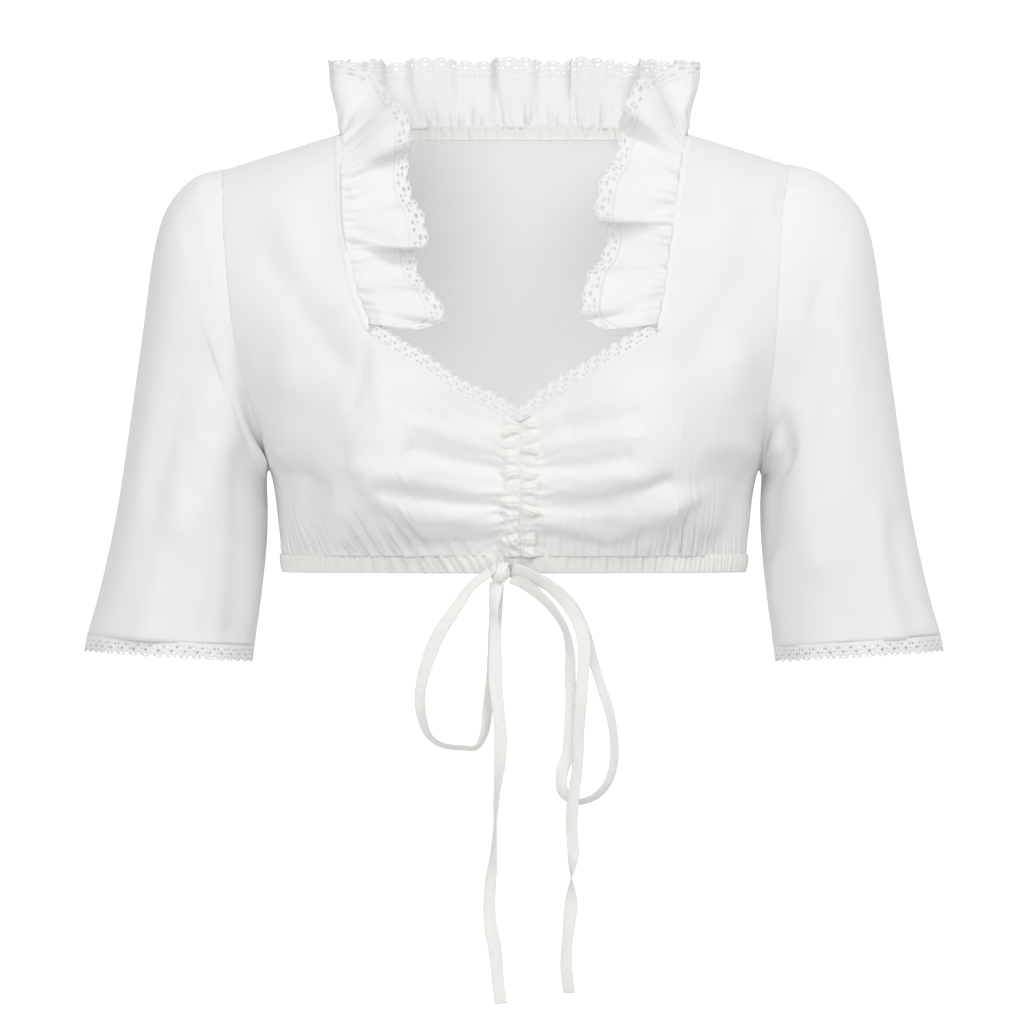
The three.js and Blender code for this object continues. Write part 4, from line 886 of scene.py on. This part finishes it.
def sleeve_relief(side, turn, t):
    """The sleeve's folds, counted across its seam, and small puckers of ease round its head."""
    folds = SLEEVE_FOLDS[side]
    spread = dict(height=folds["height"], width=folds["width"])
    for k in "123":
        spread["x" + k] = folds["turn" + k] * SLEEVE_GIRTH
        spread["z" + k] = folds["t" + k] * SLEEVE_LENGTH
    height = fold_height(spread, turn * SLEEVE_GIRTH, t * SLEEVE_LENGTH) * smooth(t / HEAD["folds"])
    top = bell((turn + 0.5) % 1 - 0.5, HEAD["ease_spread"])
    ease = HEAD["ease"] * ripple(turn * SLEEVE_GIRTH, "sleeve_ease")
    depth, width = SLEEVE_DIP
    tuck = bell(t * SLEEVE_LENGTH, width)
    return height + ease * top * np.exp(-(t / HEAD["ease_reach"])) * (1 - tuck) - depth * tuck


def add_sleeve(side, looks):
    """A sleeve, closed all round, with a narrow turned hem at its cuff."""
    across, down = GRID["sleeve"]
    turn, t = np.meshgrid(np.arange(across) / across, np.linspace(0, 1, down) ** 1.3)
    base = sleeve_points(side, turn, t)
    hem = SLEEVE_HEM["depth"] * smooth((t - SLEEVE_HEM["start"]) / SLEEVE_HEM["over"])
    relief = sleeve_relief(side, turn, t) + hem
    surface = base + grid_normals(base, closed=True) * side * relief[..., None]
    name = f"sleeve_{SIDE_NAMES[side]}"
    piece = add_wall(name + "_cloth", name, surface, CLOTH_THICKNESS, looks["cotton"], closed=True)


def casing_points(angle, z):
    """The ring of the hem: a squared-off ellipse at each height."""
    power = 2 / read(BODY, "z", "square", z)
    half = read(BODY, "z", "half", z)
    front = np.cos(angle) > 0
    depth = np.where(front, read(BODY, "z", "front", z), read(BODY, "z", "back", z))
    return stack(half * rounded(np.sin(angle), power), -depth * rounded(np.cos(angle), power), z)


def add_hem_casing(looks):
    """The elastic casing: its middle swells over the elastic and its gathers bunch up unevenly."""
    across, up = GRID["casing"]
    angle, v = np.meshgrid(np.arange(across) / across * TURN, np.linspace(0, 1, up))
    base = casing_points(angle, mix(HEM_BOTTOM, HEM_TOP + CASING["overlap"], v))
    bunched = bell(base[..., 0] - CASING["bunch_x"], CASING["bunch_width"])
    slanted = np.round(angle / TURN * CASING_GIRTH, 3) + CASING["slant"] * v * bunched
    strength = CASING["least"] + CASING["bunch"] * bunched * (base[..., 1] < 0)
    gathers = ripple(slanted, "casing") * strength
    swell = np.sin(np.pi * v)
    relief = gathers * (0.55 + 0.45 * swell) + CASING["swell"] * swell ** 0.5 + CASING["lean"] * v
    surface = base + grid_normals(base, closed=True) * relief[..., None]
    piece = add_wall("hem_casing_cloth", "hem_casing", surface, CLOTH_THICKNESS, looks["gathered"],
                     closed=True)


def add_channel(side, looks):
    """A ruched channel: between pinches at uneven heights its cloth puffs out and its outer edge frills."""
    across, up = GRID["channel"]
    u, v = np.meshgrid(np.linspace(0, 1, across), np.linspace(0, 1, up))
    tilt = CHANNEL["slant"] * side * np.sin(v * 19 + 1) * (u - 0.5)
    z = mix(HEM_TOP + 0.5, CENTRE_TOP - 3 + u * 6, v)
    pinches = np.array(CHANNEL_PINCHES[side])[::-1]
    place = np.interp(z + tilt * 2, pinches, np.arange(len(pinches)))
    puff = np.abs(np.sin(np.pi * place)) ** 0.75
    own = 0.8 + 0.4 * np.sin(np.floor(place) * 2.4 + side)
    frill = (CHANNEL["frill"] * puff * own - CHANNEL["draw_in"]) * u ** 2
    x = CENTRE_X + side * (mix(-0.1, CHANNEL_WIDTH, u) + frill)
    swell = np.sin(np.pi * u) ** 0.8
    wrinkle = CHANNEL["wrinkle"] * np.sin(place * TURN * 3 + u * 5)
    sink = CHANNEL["sink"] * smooth((u - CHANNEL["sink_from"]) / CHANNEL["sink_over"])
    rise = swell * (CHANNEL["rise"] + (CHANNEL["puff"] * puff + wrinkle) * own)
    surface = on_front(side, x, z, CHANNEL["lift"] + rise - sink)
    name = f"channel_{SIDE_NAMES[side]}"
    piece = add_wall(name + "_cloth", name, surface, TRIM_THICKNESS, looks["gathered"])


def add_binding(side, looks):
    """The narrow binding on a front just outside the neck edge, a little rounded."""
    across, up = GRID["binding"]
    u, v = np.meshgrid(np.linspace(0, 1, across), np.linspace(0.01, 0.975, up))
    spots = along(edge_path(NECK_EDGE[side]), v[:, 0])
    share = BINDING["start_share"] + BINDING["share"] * smooth(v / BINDING["widen_over"])
    reach = mix(-BINDING["overlap"], BINDING["width"] * share, u)
    x = spots[:, :1] + side * (reach + BINDING["wobble"] * np.sin(v * 70))
    z = np.broadcast_to(spots[:, 1:], x.shape)
    sink = BINDING["sink"] * smooth((u - BINDING["sink_from"]) / BINDING["sink_over"])
    surface = on_front(side, x, z, BINDING["lift"] + BINDING["crown"] * np.sin(np.pi * u) - sink)
    name = f"neck_binding_{SIDE_NAMES[side]}"
    piece = add_wall(name + "_cloth", name, surface, TRIM_THICKNESS, looks["cotton"])


def back_neck(share):
    """The back's neck edge from side to side."""
    x = -NECK_HALF_WIDTH * np.cos(share * np.pi)
    z = back_top_z(x)
    return stack(x, back_y(x, z), z)


def band_height(x):
    """The height of the gathered neck band, lower towards the shoulders."""
    return mix(BAND_HEIGHT[0], BAND_HEIGHT[1], (np.abs(x) / NECK_HALF_WIDTH) ** 4)


def add_neck_band(looks):
    """The elastic neck band: fine gathers pinched at its two stitch lines."""
    across, up = GRID["band"]
    u = np.linspace(0.006, 0.994, across)
    v = np.linspace(0, 1, up)[:, None]
    foot = back_neck(u)
    surface = np.repeat(foot[None], up, axis=0)
    surface[..., 2] += mix(0.3, band_height(foot[:, 0]), v)
    gathers = ripple(u * even(foot)[1], "band")[None, :]
    swell = 0.6 * smooth(v / 0.2) * (1 - v ** 4)
    relief = gathers * (0.5 + 0.5 * np.sin(np.pi * v)) + swell
    surface = surface - grid_normals(surface) * relief[..., None]
    piece = add_wall("neck_band_cloth", "neck_band_back", surface, CLOTH_THICKNESS, looks["gathered"])


# Ruffle

def ruffle_seam():
    """The seam of the ruffle: up the right neck edge, round the top of the band and down the left."""

    def front_stretch(side):
        t = np.array([0.05, 0.15, 0.26, 0.37, 0.48, 0.6, 0.72, 0.82, 0.9, 0.955])
        spots = along(edge_path(NECK_EDGE[side]), t)
        clear = mix(0.8, 0.5, smooth(t / 0.26))
        x, z = spots[:, 0] - side * clear, spots[:, 1]
        return stack(x, front_y(x, z), z)

    back = back_neck(np.arange(1, 18) / 18)
    back[:, 2] += band_height(back[:, 0]) + 0.3
    corner = {side: np.array([[side * (NECK_HALF_WIDTH - 0.5), 0, NECK_POINT_Z + BAND_HEIGHT[1]]])
              for side in (RIGHT, LEFT)}
    return spline(np.concatenate([front_stretch(RIGHT), corner[RIGHT], back, corner[LEFT],
                                  front_stretch(LEFT)[::-1]]), 3000)


RUFFLE_SEAM = ruffle_seam()
RUFFLE_LENGTH = even(RUFFLE_SEAM)[1]


def ruffle_gathers(length, reach):
    """The ruffle's fine relief: puckers of the gathering at its seam, soft folds that run out of them,
    and a light frill along its free edge. Each dies away from its own line."""
    reach = np.maximum(reach, 0)
    puckers = ripple(length, "puckers") * np.exp(-(reach / PUCKER_REACH) ** 1.5)
    shifted = length + 5 * np.sin(length / 37) * smooth(reach / 30)
    folds = ripple(shifted, "ruffle") * smooth(reach / 8) * (1 - 0.6 * smooth(reach / RUFFLE_HEIGHT))
    frill = ripple(length, "frill") * smooth((reach - FRILL["start"]) / FRILL["over"])
    hem = RUFFLE_HEM["depth"] * smooth((reach - RUFFLE_HEM["start"]) / RUFFLE_HEM["over"])
    return puckers + folds + frill + hem


def ruffle_points(length, reach):
    """The ruffle: out from its seam by the reach. Its lobes swing in and out as a sine, slip sideways as
    the same sine and one of twice its turns, so that one lies over the next, and reach furthest where
    they stand out."""
    share = np.clip(length / RUFFLE_LENGTH, 0, 1)
    spot = along(RUFFLE_SEAM, share)
    tangent = direction_along(RUFFLE_SEAM, share, 0.0015)
    side = np.sign(spot[..., 0])
    back = smooth((spot[..., 1] + 22) / 22)
    lean = np.radians(read(RUFFLE_LEAN, "z", "angle", spot[..., 2]))
    front = stack(-side * np.cos(lean), np.zeros_like(lean), np.sin(lean))
    up = stack(0.1 * spot[..., 0] / NECK_HALF_WIDTH, np.full_like(lean, 0.26), np.ones_like(lean))
    direction = unit(mix(front, unit(up), back[..., None]))
    normal = unit(np.cross(tangent, direction))
    lobe = {size: mix(FRONT_LOBE[size], BACK_LOBE[size], back) for size in FRONT_LOBE}
    turn = read(RUFFLE_TURNS, "length", "turns", length) * TURN
    end = smooth(np.minimum(length, RUFFLE_LENGTH - length) / RUFFLE_END_FADE)
    opened = smooth(reach / RUFFLE_HEIGHT)
    wave = np.sin(turn)
    gathers = ruffle_gathers(length, reach) * smooth(reach / 3)
    swing = (wave * (0.5 + lobe["swing"] * opened) + gathers) * end
    down = mix(-side, -1, back)
    slip = (down * lobe["slip"] * wave - lobe["overlap"] * np.sin(2 * turn)) * opened * end
    stretch = 1 - lobe["stretch"] * wave * opened
    low = 1 - smooth((spot[..., 2] + 128) / 35)
    forward = RUFFLE_FORWARD * smooth(reach / 12) * low * (spot[..., 1] < -40)
    moved = spot + direction * (reach * stretch)[..., None]
    moved = moved + normal * swing[..., None] + tangent * slip[..., None]
    moved[..., 1] += 0.9 * back * smooth(-reach / RUFFLE_TUCK) - forward
    return moved


def ruffle_height(length):
    """The ruffle's height along its seam, rounded off at both ends by a quarter circle."""
    end = np.clip(np.minimum(length, RUFFLE_LENGTH - length) / RUFFLE_CORNER, 0, 1)
    return RUFFLE_HEIGHT * mix(0.35, 1, np.sqrt(1 - (1 - end) ** 2))


def add_ruffle(looks):
    """The gathered ruffle of one long strip."""
    along_seam, out = GRID["ruffle"]
    length, v = np.meshgrid(np.linspace(0, RUFFLE_LENGTH, along_seam), np.linspace(0, 1, out))
    surface = ruffle_points(length, mix(-RUFFLE_TUCK, ruffle_height(length), v))
    piece = add_wall("neck_ruffle_cloth", "neck_ruffle", surface, TRIM_THICKNESS, looks["cotton"])


# Lace

def lace_mesh(strip, length, height, closed=False):
    """Lace as a thin strip of cells. A plain cell has four faces, a pierced one eight between its edge and
    its eight-sided hole. The outer edge rises in scallops, with a small point at every second place.
    Grid points stand at the cells' corners, edges and middles, and each layer moves out by half the
    thickness along the strip's normal."""
    repeats = int(round(length / LACE_SCALLOP))
    columns, rows = 3 * repeats, len(LACE_ROWS) - 1
    across, down = 2 * columns + (not closed), 2 * rows + 1
    place = np.arange(across) / (2 * columns) * length
    share = np.interp(np.arange(down) / 2, np.arange(rows + 1), LACE_ROWS)[None, :]
    scallop = 0.76 + 0.22 * np.abs(np.sin(np.pi * place / LACE_SCALLOP)) ** 0.7
    scallop = scallop + 0.05 * (np.arange(across) % 2)
    grid_reach = height * np.where(share > 0.5, 0.5 + (share - 0.5) * (scallop[:, None] - 0.5) * 2, share)
    grid_place = np.repeat(place[:, None], down, axis=1)

    cell, row, radius = np.array(LACE_HOLES).T
    middle_i = (2 * (3 * np.arange(repeats)[:, None] + cell) + 1).ravel().astype(int)
    middle_j = np.tile(2 * row + 1, repeats).astype(int)
    angle = np.radians(225 + 45 * np.arange(8))
    size = np.tile(radius, repeats)[:, None]
    hole_place = place[middle_i][:, None] + size * np.cos(angle)
    hole_reach = grid_reach[middle_i, middle_j][:, None] + size * np.sin(angle)

    def grid(i, j):
        return (i % across) * down + j

    plain = np.ones((2 * columns, 2 * rows), bool)
    for i in (-1, 0):
        for j in (-1, 0):
            plain[middle_i + i, middle_j + j] = False
    i, j = np.nonzero(plain)
    cells = stack(grid(i, j), grid(i + 1, j), grid(i + 1, j + 1), grid(i, j + 1))
    edge = grid(middle_i[:, None] + np.array([-1, 0, 1, 1, 1, 0, -1, -1]),
                middle_j[:, None] + np.array([-1, -1, -1, 0, 1, 1, 1, 0]))
    hole = across * down + np.arange(8 * len(middle_i)).reshape(-1, 8)
    edge_next, hole_next = np.roll(edge, -1, axis=1), np.roll(hole, -1, axis=1)
    front = np.concatenate([cells, stack(edge, edge_next, hole_next, hole).reshape(-1, 4)])

    total = across * down + 8 * len(middle_i)
    i, j = np.arange(2 * columns), np.arange(2 * rows)
    rims = [(grid(i + 1, 0), grid(i, 0)), (grid(i, 2 * rows), grid(i + 1, 2 * rows)),
            (hole.ravel(), hole_next.ravel())]
    if not closed:
        rims += [(grid(0, j), grid(0, j + 1)), (grid(across - 1, j + 1), grid(across - 1, j))]
    walls = [stack(a, b, b + total, a + total) for a, b in rims]
    quads = np.concatenate([front, front[:, ::-1] + total, *walls])

    place = np.concatenate([grid_place.ravel(), hole_place.ravel()])
    reach = np.concatenate([grid_reach.ravel(), hole_reach.ravel()])
    step = 0.2

    def spot(place, reach):
        return strip(place % length if closed else np.clip(place, 0, length), reach)

    normal = unit(np.cross(spot(place + step, reach) - spot(place - step, reach),
                           spot(place, reach + step) - spot(place, reach - step)))
    verts = np.concatenate([spot(place, reach) + side * normal * LACE_THICKNESS / 2 for side in (1, -1)])
    used, quads = np.unique(quads, return_inverse=True)
    return verts[used], quads.reshape(-1, 4)


def add_lace(name, strip, length, height, looks, closed=False):
    """A strip of pierced lace that stands for its solid."""
    verts, quads = lace_mesh(strip, length, height, closed)
    piece = make_piece(name + "_pierced", verts, quads, looks["thread"], verts[:, [0, 2]] * MM)
    stand_for(piece, name)


def add_laces(looks):
    """The lace of the ruffle, of the sweetheart edge and of both cuffs."""
    def ruffle_strip(place, reach):
        return ruffle_points(place, ruffle_height(place) - LACE_OVERLAP + reach)

    right, left = SWEETHEART_EDGE[RIGHT], SWEETHEART_EDGE[LEFT]
    edge = stack(*(np.concatenate([right[name][::-1][:-1], left[name]]) for name in "xz"))
    edge = spline(np.concatenate([edge[:1] + [-1.2, 2.6], edge, edge[-1:] + [1.2, 2.6]]), 800)
    edge_length = even(edge)[1]

    def neckline_strip(place, reach):
        share = np.clip(place / edge_length, 0, 1)
        spot = along(edge, share)
        tangent = direction_along(edge, share, 0.004)
        x = spot[..., 0] - tangent[..., 1] * (reach - LACE_OVERLAP)
        z = spot[..., 1] + tangent[..., 0] * (reach - LACE_OVERLAP)
        clear = mix(-0.1, 0.9, smooth(reach / 2.2)) - 0.5 * np.sin(place / 6.5) * reach / LACE_HEIGHT
        return stack(x, front_y(x, z) - clear, z)

    add_lace("ruffle_lace", ruffle_strip, RUFFLE_LENGTH, LACE_HEIGHT + 1.2, looks)
    add_lace("neckline_lace", neckline_strip, edge_length, LACE_HEIGHT + 0.6, looks)
    for side in (RIGHT, LEFT):
        def cuff_strip(place, reach, side=side):
            turn = place / SLEEVE_GIRTH
            end = sleeve_points(side, turn, np.ones_like(turn))
            fall = unit(np.array([side * 0.12, 0, -1.0]))
            flare = stack(np.cos(turn * TURN) * side, -np.sin(turn * TURN), 0 * turn)
            wave = 0.9 * np.sin(place / 5.6) * (reach / LACE_HEIGHT)
            return end + fall * (reach - LACE_OVERLAP)[..., None] + flare * (wave + 0.6)[..., None]

        add_lace(f"cuff_lace_{SIDE_NAMES[side]}", cuff_strip, SLEEVE_GIRTH, LACE_HEIGHT, looks,
                 closed=True)


# Drawstring

def tape_frame(route, count):
    """Evenly spaced points of a route, with the directions across the tape and through it."""
    points = stack(route["x"], route["y"], route["z"])
    path = spline(points, 900)
    shares = np.linspace(0, 1, count)
    spot = along(path, shares)
    row_share = even(path)[0][np.argmin(np.linalg.norm(path[None] - points[:, None], axis=2), axis=1)]
    turn = np.radians(np.interp(shares, row_share, route["turn"]))[:, None]
    tangent = unit(np.gradient(spot, axis=0))
    flat = unit(np.cross(tangent, np.array([0.0, -1.0, 0.0])))
    across = flat * np.cos(turn) + np.cross(tangent, flat) * np.sin(turn)
    through = unit(np.cross(tangent, across))
    return spot, across, through, even(path)[1]


def add_tape(name, route, looks):
    """A flat tape: a rounded flat section carried along its route, cupped and rippled a little."""
    around, count = GRID["tape"]
    spot, across, through, length = tape_frame(route, count)
    angle = np.arange(around) / around * TURN
    wide = rounded(np.cos(angle), TAPE_SQUARENESS)[None, :] * TAPE_WIDTH / 2
    thick = rounded(np.sin(angle), TAPE_SQUARENESS)[None, :] * TAPE_THICKNESS / 2
    reach = wide / (TAPE_WIDTH / 2)
    place = np.linspace(0, length, count)[:, None]
    cup = 0.5 * reach ** 2 * np.sin(place / 26 + 1)
    edge = 0.3 * np.sin(place / 7.0) * np.sin(place / 31) * reach
    narrow = 1 - 0.12 * np.sin(place / 19.0) ** 2
    rings = spot[:, None] + across[:, None] * (wide * narrow)[..., None]
    rings = rings + through[:, None] * (thick + cup + edge)[..., None]
    verts = rings.reshape(-1, 3)
    quads = grid_quads(count - 1, around, True)
    half = around // 2
    caps = [[k, k + 1, around - k - 1, (around - k) % around] for k in range(half)]
    first = np.array([cap[::-1] for cap in caps[1:half - 1]])
    last = np.array(caps[1:half - 1]) + (count - 1) * around
    u = np.repeat(np.linspace(0, length, count), around) * MM
    v = np.tile(angle / TURN * TAPE_WIDTH * 2, count) * MM
    piece = make_piece(name + "_cotton", verts, np.concatenate([quads, first, last]), looks["tape"],
                       stack(u, v))
    stand_for(piece, name)
    far_end = "knot" if "loop" in name else "bare"
    [tuple(p * MM) for p in spot[::4]]


def add_knot(looks):
    """The knot: a flattened lump creased by the tape's turns, and one turn of the tape pulled tight over
    it, narrower and deeper where it is pinched."""
    low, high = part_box("bow_knot")
    middle = (np.array(low) + np.array(high)) / 2 / MM
    half = (np.array(high) - np.array(low)) / 2 / MM
    around, count = GRID["knot"]
    turn, tilt = np.meshgrid(np.arange(around) / around * TURN, np.linspace(0.03, np.pi - 0.03, count))
    crease = 1 + 0.09 * np.sin(4 * turn + 2.6 * tilt) + 0.07 * np.sin(3 * tilt + 1) * np.cos(3 * turn)
    plump = np.sin(tilt) ** 0.8 * crease
    shape = stack(-np.cos(tilt) * half[0], plump * np.cos(turn) * half[1] * 0.78,
                  plump * np.sin(turn) * half[2] * 0.86)
    body = closed_lump(shape + middle)
    around, count = GRID["knot_turn"]
    sweep, across = np.meshgrid(np.arange(around) / around * TURN, np.linspace(-1, 1, count))
    pinch = 1 - 0.22 * np.cos(sweep + 0.5) ** 2
    groove = 0.35 * np.sin(across * 7 + 1.5 * np.sin(sweep)) - 1.1 * np.abs(across) ** 4
    radius = 1 + groove / half[1]
    slant = KNOT_TURN["slant"] * np.sin(sweep)
    band = stack(across * KNOT_TURN["half_width"] * pinch + slant + KNOT_TURN["offset"],
                 np.cos(sweep) * half[1] * KNOT_TURN["deep"] * radius,
                 np.sin(sweep) * half[2] * KNOT_TURN["high"] * radius)
    verts, quads = join([body, wall(band + middle, KNOT_TURN["thickness"], closed=True)])
    piece = make_piece("bow_knot_cotton", verts, quads, looks["tape"], verts[:, [0, 2]] * MM)
    stand_for(piece, "bow_knot")
    return piece


def closed_lump(rings):
    """A closed lump from rings: the grid between them and a flat cap over each end."""
    count, around = rings.shape[:2]
    quads = grid_quads(count - 1, around, True)
    half = around // 2
    caps = np.array([[k, k + 1, around - k - 2, around - k - 1] for k in range(half - 1)])
    last = caps + (count - 1) * around
    return rings.reshape(-1, 3), np.concatenate([quads, caps[:, ::-1], last])


# Stage

def add_camera():
    """A long lens level with the middle of the blouse, as far off as the photograph's flat view asks."""
    data = bpy.data.cameras.new("camera")
    camera = bpy.data.objects.new("camera", data)
    bpy.context.scene.collection.objects.link(camera)
    data.sensor_width = SENSOR_WIDTH
    data.lens = SENSOR_WIDTH * CAMERA_DISTANCE / FRAME_WIDTH
    data.dof.use_dof = False
    camera.location = Vector(CAMERA_AIM) + Vector((0, -CAMERA_DISTANCE - FRONT_DEPTH, 0))
    camera.rotation_euler = (radians(90), 0, 0)
    bpy.context.scene.camera = camera


def stage_material():
    """A plain matt white whose backdrop glows a little, from nothing on the floor to full behind it."""
    material, tree, shader = new_material("pale_studio")
    fill(shader, Base_Color=(0.82, 0.82, 0.825, 1), Roughness=0.95, Emission_Color=(1, 1, 1, 1))
    place = add_node(tree, "TexCoord")
    split = add_node(tree, "SeparateXYZ")
    start, full, strength = SWEEP_GLOW
    rise = add_node(tree, "MapRange", From_Min=start, From_Max=full, To_Max=strength)
    tree.links.new(place.outputs["Object"], split.inputs[0])
    tree.links.new(split.outputs["Y"], rise.inputs["Value"])
    tree.links.new(rise.outputs["Result"], shader.inputs["Emission Strength"])
    return material


def add_sweep():
    """A pale floor that sweeps up into a backdrop in a quarter circle."""
    steps = np.linspace(0, 1, SWEEP["points"])
    bend = np.clip((steps - 0.4) / 0.3, 0, 1) * np.pi / 2
    floor_y = mix(SWEEP["front"], SWEEP["back"], steps / 0.4)
    profile_y = np.where(steps < 0.4, floor_y, SWEEP["back"] + SWEEP["radius"] * np.sin(bend))
    wall_z = np.clip((steps - 0.7) / 0.3, 0, 1) * SWEEP["height"]
    profile_z = SWEEP["floor"] + SWEEP["radius"] * (1 - np.cos(bend)) + wall_z
    x, y = np.meshgrid([-SWEEP["half_width"], SWEEP["half_width"]], profile_y)
    verts = stack(x, y, np.repeat(profile_z[:, None], 2, axis=1)).reshape(-1, 3)
    quads = grid_quads(SWEEP["points"] - 1, 1, False)
    make_piece("studio_sweep", verts, quads, stage_material())


def add_lights():
    """Two soft lights, a small one behind the front for the inside of the back, and an even surround."""
    for name, (place, aim, width, height, power) in LIGHTS.items():
        data = bpy.data.lights.new(name, "AREA")
        data.shape = "RECTANGLE"
        data.size = width
        data.size_y = height
        data.energy = power
        light = bpy.data.objects.new(name, data)
        light.location = place
        light.rotation_euler = (Vector(aim) - Vector(place)).to_track_quat("-Z", "Y").to_euler()
        light.visible_camera = False
        bpy.context.scene.collection.objects.link(light)
    world = bpy.data.worlds.new("even_surround")
    world.use_nodes = True
    fill(world.node_tree.nodes["Background"], Color=(1, 1, 1, 1), Strength=SURROUND)
    bpy.context.scene.world = world
    bpy.context.scene.view_settings.view_transform = "Standard"


add_camera()
looks = make_materials()
knot = add_knot(looks)
for name, route in TAPE_ROUTES.items():
    add_tape(name, route, looks)
for side in (RIGHT, LEFT):
    add_front(side, looks)
    add_sleeve(side, looks)
    add_channel(side, looks)
    add_binding(side, looks)
add_back(looks)
add_hem_casing(looks)
add_neck_band(looks)
add_ruffle(looks)
add_laces(looks)
add_sweep()
add_lights()
